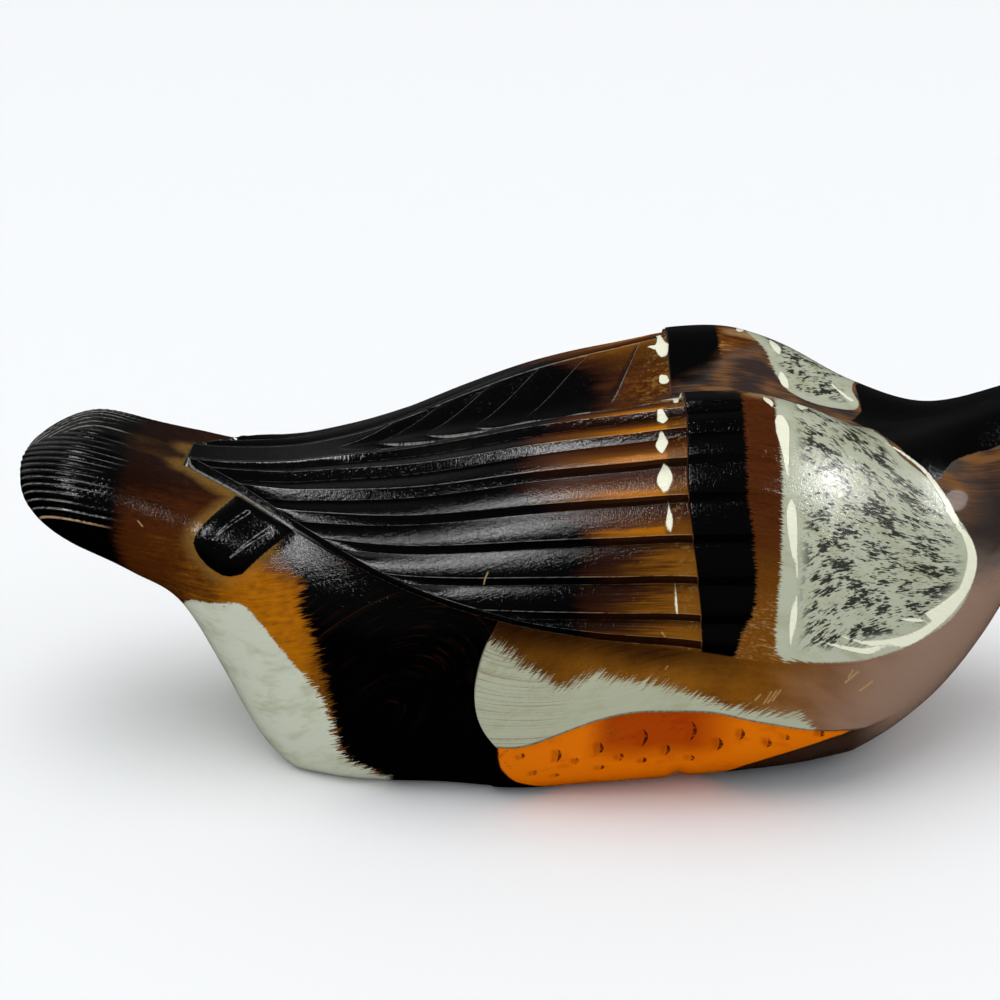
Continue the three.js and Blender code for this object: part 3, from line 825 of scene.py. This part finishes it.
PATCH_DABS = [
    [(243.6, 0.987, 0.8), (244.4, 1.03, 1.4), (245.3, 1.075, 0.2)],
    [(247.4, 1.14, 1.0), (247.5, 1.19, 2.2), (247.6, 1.25, 2.0), (247.9, 1.34, 1.1),
     (248.5, 1.43, 0.5), (248.9, 1.49, 0.1)],
    [(249.4, 1.505, 0.7), (249.2, 1.55, 1.6), (249.4, 1.61, 1.5), (250.0, 1.67, 0.9),
     (250.9, 1.73, 0.3), (251.2, 1.755, 0.1)],
    [(250.6, 1.783, 0.4), (250.2, 1.83, 1.0), (249.8, 1.88, 0.9), (249.6, 1.93, 0.2)],
    [(255.3, 1.01, 0.6), (256.2, 0.9, 1.9), (256.6, 0.79, 1.0)],
    [(256.6, 0.51, 0.6), (257, 0.41, 1.7), (257.6, 0.32, 0.8)],
    [(272.6, 0.7, 0.2), (275.1, 0.65, 0.5), (278.6, 0.544, 0.9), (281.4, 0.47, 0.8)],
]
PATCH_BORDER = [
    [(282.6, 1.05, 0.2), (285.6, 1.11, 0.5), (288.8, 1.18, 0.7), (292.1, 1.26, 0.8),
     (295.6, 1.36, 0.9), (299.2, 1.528, 1.1), (301.4, 1.68, 1.0)],
    [(298.4, 1.57, 0.2), (301.0, 1.68, 0.8), (303.2, 1.78, 1.1), (303.9, 1.86, 1.2),
     (303.6, 1.926, 1.3), (301.6, 1.99, 1.3), (297.6, 2.025, 1.1), (291.6, 2.022, 1.0),
     (284.6, 2.0, 1.0), (277.1, 1.972, 1.0), (269.6, 1.945, 0.8), (262.6, 1.922, 0.5),
     (257, 1.905, 0.1)],
    [(300.6, 2.0, 0.6), (296.5, 1.994, 1.0), (291.5, 1.974, 1.1), (286.5, 1.945, 0.8),
     (281.6, 1.9, 0.4), (277.6, 1.856, 0.1)],
    [(288, 1.998, 0.3), (281, 1.968, 0.6), (274, 1.937, 0.7), (267.6, 1.91, 0.4),
     (261, 1.882, 0.1)],
]
NAPE_FRONT = [(283, 0.3), (284, 0.9), (288.6, 1.134), (294.6, 1.345), (299, 1.42), (305.1, 1.361),
              (312.1, 1.381), (320.1, 1.441), (350, 1.5), (400, 1.45), (425, 1.35), (446, 1.2),
              (455, 1.0), (462, 0.5), (464, -1), (278, -1)]
EYE = [(434.0, 1.5, 2.6), (434.5, 1.5, 2.6)]
BILL_LINE = [(453, -1), (455, 0.9), (452, 1.6), (450, 2.1), (452, 3), (453, 5), (540, 5),
             (540, -1)]
MOUTH = [[(452, 2.02, 0.5), (470, 1.95, 0.45), (490, 1.9, 0.4), (504, 1.9, 0.35)]]
SCRATCH_ENDS = [
    ((45.3, 1.816), (46.8, 1.86)), ((158.2, 1.672), (156.9, 1.71)), ((212.1, 1.89), (213.1, 1.9)),
    ((213.9, 1.985), (214.4, 1.98)), ((240.1, 2.088), (241.6, 2.063)), ((242.6, 2.105), (244.6, 2.054)),
    ((243.8, 2.1), (246.1, 2.05)), ((245.1, 2.092), (247.3, 2.046)), ((265.6, 2.038), (269.1, 2.004)),
    ((266.4, 2.02), (267.6, 1.997)), ((269.6, 2.09), (273.0, 2.07)),
]
CHIPPED_SPOT = on_map([(200, 2.2)])[0]

above_wing_edge = girth_at(along, wing_edge(along) + face_step(along)) - girth
ahead_of_thigh = (ring_x[:, None] - THIGH_EDGE * length) / MM + 0 * around
below_foot_line = girth - girth_at(along, foot_line(ring_x[:, None]) + 0 * around)
keep_sides("row", np.array([row for _, _, row in columns])[None, :] + 0 * around)
keep_sides("wing", above_wing_edge)
keep_sides("thigh", ahead_of_thigh)
keep_sides("foot", np.minimum(np.minimum(below_foot_line, ahead_of_thigh), within(FOOT)))
outlines = {"shoulder_patch": SHOULDER_PATCH, "rump_patch": RUMP_PATCH, "rear_black": REAR_BLACK,
            "thigh_sage": THIGH_SAGE, "nape": NAPE_FRONT}
for name, outline in outlines.items():
    keep_sides(name, within(soft_line(outline, closed=True)))
keep_sides("side_feather", np.where(below_wing, side_feather, -5))
keep_sides("cream", stroked(TEARDROPS + PATCH_DABS + PATCH_BORDER))
keep_sides("gouges", into_gouge)
keep_sides("coverts", (ring_x[:, None] - COVERT_EDGE * length) / MM + 0 * around)
keep_sides("scapular", (ring_x[:, None] / length - SCAPULARS_START) / scapular_pitch + 0 * around)
keep_sides("eye", stroked([EYE]))
keep_sides("bill", within(BILL_LINE))
keep_sides("mouth", stroked(MOUTH))
keep_sides("around", around)


# The paint: stain rubbed into the bare wood, black laid over it, then thin sage colour dragged on
# with a dry brush, black dabs, cream strokes and an orange foot and bill.
paint = bpy.data.materials.new("painted_wood")
paint.use_nodes = True
tree = paint.node_tree
tree.nodes.remove(tree.nodes["Principled BSDF"])


def painted(name, output=2):
    return add_node(tree, "ShaderNodeAttribute", {"attribute_name": name}, output=output)


on_surface = painted("surface", output=1)
parts = add_node(tree, "ShaderNodeSeparateXYZ", {}, [on_surface]).socket.node.outputs
u, w, side = [Reading(tree, part) for part in parts]


def frame_of(first, second):
    """A place to paint at, from two measures in millimetres."""
    return add_node(tree, "ShaderNodeCombineXYZ", {}, [first, second, side])


def grain(run, across, detail=2, seed=0, on=None):
    """Noise of about -1 to 1, in marks of this size in millimetres."""
    place = add_node(tree, "ShaderNodeMapping", {}, {
        "Vector": on or on_surface, "Location": (seed * 7.3, seed * 3.9, seed * 1.7),
        "Scale": (1 / run, 1 / across, 1)})
    noise = add_node(tree, "ShaderNodeTexNoise", {}, {"Vector": place, "Scale": 1,
                     "Detail": detail})
    return noise.reckon("MULTIPLY_ADD", noise, 4, -2)


def edge(field, soft=0.3):
    """The part of the goose inside a line, which is this soft in millimetres."""
    return ramp(field, -soft, soft)


def lay(under, over, mask):
    """One colour laid over another where the mask is 1."""
    settings = {"data_type": "RGBA", "clamp_factor": True}
    return add_node(tree, "ShaderNodeMix", settings, {0: mask, 6: under, 7: over}, output=2)


flat_place = add_node(tree, "ShaderNodeCombineXYZ", {}, [u, w, 0])


def vector(operation, *parts, output=0):
    return add_node(tree, "ShaderNodeVectorMath", {"operation": operation}, parts, output)


def away_from(spot):
    """Millimetres from a spot on the map."""
    return vector("LENGTH", vector("SUBTRACT", flat_place, (*spot, 0)), output=1)


def beside(start, end):
    """Millimetres from a straight line between two spots on the map."""
    run = end - start
    off = vector("SUBTRACT", flat_place, (*start, 0))
    along_it = vector("DOT_PRODUCT", off, (*run, 0), output=1)
    share_of_run = along_it.reckon("DIVIDE", along_it, float(run @ run), clamp=True)
    nearest = add_node(tree, "ShaderNodeVectorMath", {"operation": "SCALE"},
                       {0: (*run, 0), "Scale": share_of_run})
    return vector("LENGTH", vector("SUBTRACT", off, nearest), output=1)


def nearest_of(distances):
    closest = distances[0]
    for distance in distances[1:]:
        closest = closest.least(distance)
    return closest


BLACK = colour(7, 8, 10)
UMBER = colour(34, 16, 7)
WALNUT = colour(72, 37, 13)
HONEY = colour(134, 84, 22)
AMBER = colour(182, 108, 9)
RED_BROWN = colour(84, 43, 18)
# A mauve for the painted sheen of the pale table on the breast.
MAUVE_SHEEN = colour(150, 123, 106)
PURPLE_BROWN = colour(74, 46, 36)
TAN = colour(128, 96, 46)
PALE_TAN = colour(186, 150, 104)
SAGE = colour(186, 190, 167)
PALE_SAGE = colour(206, 210, 192)
GREEN_SAGE = colour(160, 160, 124)
CREAM = colour(251, 250, 224)
ORANGE = colour(232, 118, 5)
DEEP_ORANGE = colour(160, 58, 2)
CRESCENT_BROWN = colour(58, 20, 5)
# A pale grey for worn paint and for painted glints on carved edges.
WEAR_AND_GLINT = colour(168, 168, 160)

row = painted("row")
share = row.reckon("FRACT", row)
wing = painted("wing")
thigh = painted("thigh")
coverts = painted("coverts")
place_around = painted("around")
long_streaks = grain(16, 0.9, seed=1)
short_streaks = grain(5.5, 0.8, seed=2)
blotches = grain(14, 9, seed=3)
mottle = grain(3.2, 2.0, seed=4)
speckle = grain(0.45, 0.4, 1, seed=5)
fine = grain(1.1, 0.9, seed=6)
brush_ends = grain(6, 0.42, seed=20)

# The stained wood under everything, lighter and warmer low on the tail and along the flank.
TIP_PLACE = float(tip_x / MM) - 0.5
on_wing = edge(wing, 0.3) * edge(u - TIP_PLACE, 0.3)
tail_tone = 0.1 + ramp(u, 38, 80) * 0.2 + ramp(place_around, 1.25, 2.1) * 0.3
tone = tail_tone + long_streaks * 0.06 + blotches * 0.05 + mottle * 0.05 + fine * 0.03
wood = lay(UMBER, WALNUT, ramp(tone, 0.1, 0.42))
wood = lay(wood, HONEY, ramp(tone, 0.42, 0.78))
wood = lay(wood, AMBER, ramp(tone + long_streaks * 0.08, 0.6, 0.95))

feather = painted("side_feather")
ahead_of_tip = edge(u - TIP_PLACE, 1.5)
tip_spot = on_map([(TIP_PLACE, float(wing_edge(tip_x)))])[0]
wing_gap = (0 - wing).most(0) * ahead_of_tip + away_from(tip_spot) * (1 - ahead_of_tip)
halo = fall(wing_gap + blotches * 1.6 + mottle * 0.5, 1.5, 8.5)
feather_halo = fall((0 - feather).most(0) + blotches * 0.8, 0.5, 6.0)
halo = halo.most(feather_halo) * (1 - on_wing) * fall(u, 98, 110)
halo_colour = lay(TAN, PALE_TAN, ramp(u, 80, 90) * fall(wing_gap, 3, 8) * 0.7)
wood = lay(wood, halo_colour, halo * (0.74 + speckle * 0.2 + fine * 0.14))
glow = edge(u - 74, 7) * fall(u, 98, 108) * ramp(place_around, 1.66, 1.86)
wood = lay(wood, AMBER, glow * (0.7 + short_streaks * 0.25 + mottle * 0.2 - ramp(speckle, 0.5, 1.3) * 0.35))

# The flank and breast, golden under the wing and paled to mauve towards the breast by a painted sheen of the
# pale table, with painted shade just under the wing's edge.
flank = edge(thigh, 0.5) * (1 - on_wing)
pores = ramp(grain(1.3, 0.35, 1.5, seed=14), 0.35, 1.1)
flank_wood = lay(WALNUT, HONEY, (0.76 + blotches * 0.2 + mottle * 0.12 + speckle * 0.08
                                 - ramp(place_around, 2.0, 2.35) * 0.12))
flank_wood = lay(flank_wood, UMBER, pores * 0.4)
# Painted shade under the wing's overhanging edge, fading forward as the undercut does.
under_wing_shade = fall(wing_gap + blotches * 0.8, 1.0, 11.0) * (1 - ramp(u, 212, 250) * 0.85)
flank_wood = lay(flank_wood, UMBER, under_wing_shade * (0.8 + long_streaks * 0.12))
flank_wood = lay(flank_wood, UMBER, fall(u + blotches * 3, 160, 206) * 0.62)
# Towards the breast, a painted sheen of the pale table pales the brown to mauve.
sheen_place = u + (place_around - 2) * 30 + blotches * 5
flank_wood = lay(flank_wood, MAUVE_SHEEN, ramp(sheen_place, 240, 292))
wood = lay(wood, flank_wood, flank)

# The wings and back: black at the rear, browns ahead of it that start further forward in the
# lower rows, and amber along the lower edge of each feather.
feather_streaks = grain(15, 0.8, seed=21, on=frame_of(u, row * 12))
brown_start = (178 + ramp(row, 4.6, 5.8) * 20 + fall(row, 0.5, 1.0) * 14
               - ramp(row, 1.5, 2.5) * 12)
into_brown = u - brown_start + feather_streaks * 3.5
high_rows = fall(row, 2.9, 3.2)
# Each row's brown is darker along its top, as painted shade under the lip of the row above.
wing_brown = lay(UMBER, PURPLE_BROWN, ramp(into_brown, -4, 14) * (0.5 + ramp(share, 0.05, 0.3) * 0.4))
wing_brown = lay(wing_brown, WALNUT, ramp(into_brown + feather_streaks * 4, 8, 26) * 0.85)
wing_brown = lay(wing_brown, WALNUT, high_rows * ramp(into_brown, 0, 10) * 0.8)
warm_part = ramp(share + feather_streaks * 0.05, 0.35, 0.8)
wing_brown = lay(wing_brown, HONEY, warm_part * ramp(into_brown, 4, 26) * 0.5)
low_edge = ramp(share + feather_streaks * 0.04 + mottle * 0.03, 0.66, 0.86)
amber_run = ramp(u + feather_streaks * 4 + row * 0.6, 186, 207) * fall(u, 210.5, 212.5)
low_rows = ramp(row, 5.8, 6.2)
wing_brown = lay(wing_brown, AMBER, low_edge * amber_run * ramp(row, 1.0, 1.4) * (0.9 - low_rows * 0.7))
low_gold = ramp(into_brown + feather_streaks * 5 + mottle * 2, 8, 34) * low_rows * (0.8 + fine * 0.12)
wing_brown = lay(wing_brown, HONEY, low_gold)
golden_fleck = ramp(fine + mottle * 0.8 - abs(share - 0.55) * 3, 0.5, 1.2) * ramp(row, 6.0, 6.2)
wing_brown = lay(wing_brown, AMBER, golden_fleck * ramp(u, 192, 200) * fall(u, 206, 210) * 0.8)
# Painted shade along the top of each row, under the lip above.
wing_brown = lay(wing_brown, UMBER, fall(share, 0.0, 0.4) * 0.6 * ramp(row, 1, 1.2))
low_dark = low_rows * fall(into_brown + feather_streaks * 6, 12, 32)
wing_brown = lay(wing_brown, UMBER, low_dark * 0.75)
back_gold = fall(row, 0.9, 1.0) * ramp(mottle * 0.7 + blotches * 0.7 + fine * 0.5, -0.3, 1.0)
wing_brown = lay(wing_brown, HONEY, back_gold * ramp(into_brown, 0, 20) * 0.75)
valley_dark = fall(row, 0.9, 1.0) * fall(abs(share - 0.72), 0.1, 0.26)
wing_brown = lay(wing_brown, UMBER, valley_dark * (0.5 + mottle * 0.2))
before_step = ramp(coverts, -6, -4) * fall(coverts, -0.3, 0)
chips = ramp(mottle + fine * 0.8, 0.2, 0.8) * before_step
wing_brown = lay(wing_brown, TAN, chips * 0.75)
wing_black = fall(into_brown + fine * 0.6, -3, 3)
on_wings = lay(wing_brown, BLACK, wing_black)

band_bow = ramp(place_around, 1.45, 1.75) * 3.2 - ramp(place_around, 1.8, 1.95) * 5
band_front = band_bow + 235.7 - u + brush_ends * 1.1 + fine * 0.3
ahead_of_step = edge(coverts, 0.25)
band = ahead_of_step * edge(band_front, 0.5)
shoulder_hairs = grain(2.6, 0.45, seed=15)
shoulder = lay(RED_BROWN, WALNUT, ramp(long_streaks + fine * 0.5, -0.6, 1.2))
shoulder = lay(shoulder, UMBER, ramp(shoulder_hairs, -0.2, 1.4) * 0.6)
shoulder = lay(shoulder, AMBER, ramp(shoulder_hairs + fine * 0.5, 0.8, 1.5) * 0.5)
shoulder = lay(shoulder, HONEY, ramp(row, 5.4, 8.2) * (0.65 + fine * 0.15))
fringe = ramp(row, 7.0, 8.0) * ramp(shoulder_hairs + fine * 0.4, 0.0, 1.0)
shoulder = lay(shoulder, PALE_TAN, fringe * 0.5)
top_gold = fall(row, 1.0, 2.0) * ramp(short_streaks * 0.6 + blotches * 0.7, -0.5, 0.9)
shoulder = lay(shoulder, HONEY, top_gold * 0.7)
shoulder = lay(shoulder, PALE_TAN, ramp(top_gold + mottle * 0.15, 0.8, 1.1) * 0.7)
# A pale painted reflection on the top of the shoulder.
shoulder_top_reflection = ramp(u, 236, 241) * ramp(row, 0.88, 0.94) * fall(row, 1.0, 1.9)
shoulder = lay(shoulder, PALE_TAN, shoulder_top_reflection * (0.55 + mottle * 0.2))
# A painted mauve sheen over the shoulder's brown towards the breast.
shoulder = lay(shoulder, MAUVE_SHEEN, ramp(u, 262, 284) * ramp(row, 1.4, 2.2) * 0.8)
on_wings = lay(on_wings, shoulder, ahead_of_step)
on_wings = lay(on_wings, BLACK, band)
ahead_of_patch = ramp(u, 242, 256) * fall(wing, 1, 6)
on_wings = lay(on_wings, flank_wood, ahead_of_patch)
wood = lay(wood, on_wings, on_wing * fall(u, 306, 316))

# The throat is darker and less glossy, with gold rubbed into it below the nape.
throat = ramp(u - (place_around - 1.9) * 45 + blotches * 2, 292, 308)
wood = lay(wood, UMBER, throat * (0.9 + blotches * 0.1))
throat_gold = ramp(blotches + long_streaks * 0.5, -0.6, 0.9) * fall(place_around, 1.5, 1.85)
wood = lay(wood, HONEY, throat * throat_gold * 0.75)

# Each feather's cut face is painted black as shade, and a pale painted highlight runs along its lip and where
# the next row begins.
among_rows = ramp(row, 0.94, 0.96) * fall(row, 9.05, 9.1) * on_wing * (1 - ahead_of_step)
cut_face = ramp(abs(share - 0.5), 0.4895, 0.491) * among_rows
wood = lay(wood, lay(BLACK, UMBER, ramp(into_brown, 0, 10) * 0.8), cut_face * 0.95)
lip = ramp(share, 0.955, 0.98) * (1 - cut_face)
row_start = fall(share, 0.012, 0.024) * (1 - cut_face) * ramp(row, 1.5, 1.6)
lip_glint = lip * among_rows * ramp(long_streaks + fine * 0.5, -1.2, 0.6)
row_start_glint = row_start * among_rows * ramp(long_streaks - fine * 0.5, -0.8, 0.9)
lip_glint_colour = lay(WEAR_AND_GLINT, PALE_TAN, ramp(into_brown, -6, 10))
wood = lay(wood, lip_glint_colour, lip_glint * (0.42 + ramp(into_brown, -6, 10) * (0.3 - low_rows * 0.3)))
wood = lay(wood, lip_glint_colour, row_start_glint * 0.3)

# Five scapular feathers lie slanting on the back, each with a pale painted highlight on its rear edge over
# painted shade in the dark cut.
scapular = painted("scapular")
scapular_share = scapular.reckon("FRACT", scapular)
among_scapulars = ramp(scapular, -1.02, -0.98) * fall(scapular, 4.0, 4.02) * on_wing
among_scapulars = among_scapulars * fall(row, 0.9, 0.97) * ramp(row, 0.06, 0.2)
scapular_edge_glint = fall(scapular_share, 0.0, 0.045) * among_scapulars
wood = lay(wood, BLACK, ramp(scapular_share, 0.9, 0.99) * among_scapulars * 0.75)
wood = lay(wood, WEAR_AND_GLINT, scapular_edge_glint * ramp(fine + mottle, -1.4, 0.4) * 0.7)

# The black of the tail, the side feather, the flank behind the thigh, the nape and the crown, and black
# painted as shade below the heel.
TAIL_BLACK_END = 36
tail_edge = TAIL_BLACK_END + ramp(place_around, 0.4, 1.4) * 3 + brush_ends * 2.6 + blotches
tail_black = edge(tail_edge - u, 3.2)
behind_black = edge(painted("rear_black") + brush_ends * 1.7 + short_streaks * 2.2 + blotches, 1.5)
behind_black = behind_black * (1 - on_wing) * (1 - edge(thigh, 0.3))
nape_black = edge(painted("nape") + fine * 0.15, 0.35)
under_foot_line = ramp(row, 9.99, 10.01)
# Black painted as shade below the heel.
heel_shade_black = under_foot_line * ramp(u, 150, 155) * fall(u, 180, 196)
wood = lay(wood, BLACK, tail_black.most(behind_black).most(nape_black).most(heel_shade_black))
FLANK_SWEEP_CENTRE = (128, 118)
arc_place = frame_of(away_from(FLANK_SWEEP_CENTRE), (u + w) * 0.3)
brown_arcs = grain(0.8, 10, seed=8, on=arc_place)
arcs_show = behind_black * ramp(blotches, -0.5, 0.8) * fall(place_around, 2.1, 2.35)
wood = lay(wood, WALNUT, arcs_show * ramp(brown_arcs, 0.1, 1.3) * 0.62)
wood = lay(wood, BLACK, edge(feather + 0.35, 0.25) * (1 - on_wing))
in_barbs = painted("barb_place") / BARB_PITCH
off_cut = (in_barbs - in_barbs.reckon("ROUND", in_barbs)) * 2
barb_reach = painted("barb_reach")
# A pale painted glint along the lower lip of each barb.
barb_lip_glint = fall(abs(off_cut - 0.45), 0.06, 0.3) * barb_reach
wood = lay(wood, WEAR_AND_GLINT, barb_lip_glint * ramp(long_streaks + short_streaks * 0.5 + fine * 0.4, -1.2, 0.9) * 0.6)
gold_line = fall(abs(painted("barb_place") - 0.6), 0.15, 0.4) * ramp(u, 9, 12) * fall(u, 30, 38)
wood = lay(wood, PALE_TAN, gold_line * (1 - side / side_shift) * ramp(fine + mottle, -1.5, 0.2) * 0.8)
# A pale painted highlight along the wing's lower lip near its tip.
tip_lip_glint = fall(abs(wing - 0.4), 0.1, 0.4) * ramp(u, 56, 58) * fall(u, 88, 106)
wood = lay(wood, WEAR_AND_GLINT, tip_lip_glint * ramp(fine, -1.4, 0.4) * 0.5)

# A pale painted highlight along the veins' edges, and scratches through to the pale wood on the goose's
# right.
def past_vein(start, end):
    """Millimetres out from a vein's edge, which narrows towards its end."""
    narrowing = (VEIN_WIDTHS[0] - VEIN_WIDTHS[1]) / np.linalg.norm(end - start)
    return beside(start, end) + away_from(start) * float(narrowing) - VEIN_WIDTHS[0]


off_vein = nearest_of([past_vein(*on_map(ends)) for ends in VEIN_ENDS])
vein_edge_glint = fall(abs(off_vein), 0.08, 0.32) * edge(feather, 0.3)
wood = lay(wood, WEAR_AND_GLINT, vein_edge_glint * ramp(fine + mottle, -0.9, 0.7) * 0.6)
scratch = nearest_of([beside(*on_map(ends)) for ends in SCRATCH_ENDS])
scratched = fall(scratch + fine * 0.12, 0.12, 0.4) * (1 - side / side_shift)
wood = lay(wood, PALE_TAN, scratched * ramp(fine, -1.2, 0.4) * 0.75)

# The sage colour, thin enough to show the brush.
hair_place = frame_of((u - w) * 0.707, (u + w) * 0.707)
hair = grain(9, 0.5, 3, seed=9, on=hair_place)
THIGH_SWEEP_CENTRE = (196, 66)
stroke_place = frame_of(away_from(THIGH_SWEEP_CENTRE), (w - THIGH_SWEEP_CENTRE[1]) * 0.5)
bristles = grain(0.6, 16, seed=10, on=stroke_place)
patch = painted("shoulder_patch")
rump = painted("rump_patch")
patch_teeth = brush_ends * 1.2 * fall(u, 252, 258)
patch_mask = edge(patch + patch_teeth + fine * 0.15, 0.35)
rump_edge = rump + (brush_ends * 2.4 + short_streaks * 1.4) * ramp(u, 96, 106) + fine * 0.5
rump_mask = edge(rump_edge, 0.4) * (1 - on_wing)
foot = painted("foot")
thigh_mask = edge(painted("thigh_sage") + hair * 2.6 + brush_ends * 1.2, 1.3) * flank
thigh_mask = thigh_mask * (1 - under_foot_line)
sage_like = patch_mask.most(rump_mask).most(thigh_mask)
sage = lay(SAGE, PALE_SAGE, ramp(bristles, 0, 1.4) * thigh_mask * 0.7 + ramp(long_streaks, 0.3, 1.6) * 0.4)
sage = lay(sage, PALE_SAGE, rump_mask * 0.7)
sage = lay(sage, GREEN_SAGE, ramp(blotches + mottle * 0.4 + short_streaks * 0.2, -0.3, 1.3) * 0.65)
sage = lay(sage, GREEN_SAGE, thigh_mask * 0.3)
thin_sage = ramp(bristles - fine * 0.2, -0.2, 0.9) * thigh_mask * fall(u + blotches * 4, 176, 192)
sage = lay(sage, RED_BROWN, thin_sage * 0.5)
rump_smear = ramp(grain(7, 2.2, seed=16), 0.5, 1.6) * rump_mask
sage = lay(sage, WEAR_AND_GLINT, rump_smear * 0.4)
wood = lay(wood, sage, sage_like)
specks = ramp(grain(1.5, 1.2, 1, seed=11), 1.38, 1.5) * rump_mask
top_flecks = ramp(grain(3.0, 0.8, seed=17), 0.5, 0.9) * fall(abs(rump - 0.7), 0.3, 1.1)
wood = lay(wood, UMBER, specks.most(top_flecks * rump_mask * fall(u, 90, 96)) * 0.85)

# Black dabs on the shoulder, slanting down forwards in its upper part and up forwards below.
DAB_TURN_LINE = 47
slant = (w - DAB_TURN_LINE) * add_node(tree, "ShaderNodeMath", {"operation": "EXPONENT"}, [(u - 270) * 0.019])
dab_place = frame_of(u, slant)
dab_clusters = grain(9, 5.0, 1.5, seed=18, on=dab_place)
big_dabs = grain(4.6, 2.4, 3, seed=12, on=dab_place)
small_dabs = grain(1.8, 0.6, seed=13, on=dab_place)
dab_zone = ramp(patch + blotches * 1.2, 2.2, 6.0) * ramp(u, 250, 256)
dabs = big_dabs * 0.75 + small_dabs * 0.6 + dab_clusters * 0.35 + fine * 0.15
wood = lay(wood, BLACK, ramp(dabs, -0.1, 0.38) * dab_zone * 0.93)

# The cream strokes, thick enough for the brush to leave a ridge.
cream = painted("cream")
cream_mask = edge(cream + fine * 0.08, 0.16)
wood = lay(wood, CREAM, cream_mask * (0.95 + short_streaks * 0.06))

# The foot and bill. Each scale is one push of a gouge, its crisp dark crescent and the hollow behind it
# darkened as painted shade.
bill = painted("bill")
foot_mask = edge(foot - 0.2 + fine * 0.1, 0.25)
bill_mask = edge(bill, 0.3)
upper_foot = fall(place_around + blotches * 0.03, 2.3, 2.5)
upper_foot = upper_foot * ramp(u, 190, 200) * fall(u, 222, 240)
deep = upper_foot * 0.9 + ramp(blotches + mottle * 0.4, 0.2, 1.5) * 0.45
orange = lay(ORANGE, DEEP_ORANGE, deep.most(ramp(place_around, 2.7, 3.1) * 0.8))


CRESCENT_HALF = 0.55


def off_scale(spot, half_height):
    """Millimetres from the crisp front line of a scale, which bows towards the toes and thins out
    towards its ends."""
    spot_u, spot_w = (float(part) for part in spot)
    rise = w - spot_w
    squared = rise * rise
    off_line = abs(squared.reckon("MULTIPLY_ADD", squared, SCALE_BOW / half_height, u - spot_u))
    return squared.reckon("MULTIPLY_ADD", squared, CRESCENT_HALF / half_height**2, off_line)


scale_line = nearest_of([off_scale(*scale) for scale in zip(scale_spots, scale_heights)])
# The stop cut's crisp dark line and the gouge's hollow behind it: painted shade.
stop_cut_shade = fall(scale_line + fine * 0.08, CRESCENT_HALF - 0.1, CRESCENT_HALF + 0.1)
gouge_hollow_shade = ramp(painted("gouges"), -0.5, 0.9)
orange = lay(orange, DEEP_ORANGE, gouge_hollow_shade * 0.55)
orange = lay(orange, CRESCENT_BROWN, stop_cut_shade * ramp(fine + mottle, -1.4, 0.2) * 0.9)
foot_chips = ramp(fine + mottle * 0.7, 0.5, 1.0) * fall(away_from(CHIPPED_SPOT), 4, 11)
orange = lay(orange, TAN, foot_chips * 0.8)
heel_specks = ramp(grain(1.2, 1.0, 1, seed=19), 0.4, 0.8) * fall(u, 167, 172)
orange = lay(orange, BLACK, heel_specks * 0.85)
# A dark line of painted shade round the foot's edge.
foot_edge_shade = fall(foot + fine * 0.2, 0.1, 0.7) * ramp(foot, -0.9, -0.3)
wood = lay(wood, orange, foot_mask.most(bill_mask))
wood = lay(wood, UMBER, foot_edge_shade * flank * (0.6 + fine * 0.2))
# Painted shadow under the toes.
under_toes_shade = under_foot_line * (1 - foot_mask) * ramp(u, 205, 215) * fall(u, 268, 284) * flank
wood = lay(wood, UMBER, under_toes_shade * 0.9)
wood = lay(wood, BLACK, edge(painted("mouth"), 0.3) * bill_mask * 0.9)
wood = lay(wood, BLACK, ramp(u + fine * 0.4, 496, 498))

eye = painted("eye")
wood = lay(wood, CREAM, edge(eye + 0.9, 0.25))
wood = lay(wood, BLACK, edge(eye, 0.25))

# The varnish, glossy over the black, thinner over the sage and dull on the throat. The bare wood's
# grain, the cream strokes and the barbs show through it as relief.
satin = throat * fall(u, 325, 360) * (1 - sage_like.most(nape_black))
gloss = (0.12 + sage_like * 0.07 + speckle * 0.03 + blotches * 0.015 + lip_glint * 0.1
         + satin * 0.85)
barb_groove = fall(abs(off_cut), 0.1, 0.7) * barb_reach
tooth = speckle * 0.03 + long_streaks * 0.022 + edge(cream, 0.16) * 0.3 - barb_groove * 0.45
relief = add_node(tree, "ShaderNodeBump", {}, {"Strength": 1, "Distance": MM, "Height": tooth})
varnish = add_node(tree, "ShaderNodeBsdfPrincipled", {}, {
    "Base Color": wood, "Roughness": gloss.held(), "Normal": relief,
    "Specular IOR Level": 0.4, "Coat Weight": 0.05, "Coat Roughness": 0.08})
tree.links.new(varnish.socket, tree.nodes["Material Output"].inputs["Surface"])


# The finished goose: the tool marks are cut into the mesh, which then takes the solid's place.
raw_goose = bpy.data.objects.new("raw_goose", goose_mesh)
bpy.context.collection.objects.link(raw_goose)
cutting = raw_goose.modifiers.new("tool_marks", "NODES")
cutting.node_group = marks
for item in marks.interface.items_tree:
    if item.in_out == "INPUT" and item.name in mark_sizes:
        cutting[item.identifier] = mark_sizes[item.name]
    if item.in_out == "INPUT" and item.name == "Paint":
        cutting[item.identifier] = paint
evaluated = raw_goose.evaluated_get(bpy.context.evaluated_depsgraph_get())
marked_mesh = bpy.data.meshes.new_from_object(evaluated)
marked_mesh.name = "painted_goose"
bpy.data.objects.remove(raw_goose)

goose = bpy.data.objects.new("painted_goose", marked_mesh)
bpy.context.collection.objects.link(goose)
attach(goose, "root")
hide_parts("goose")
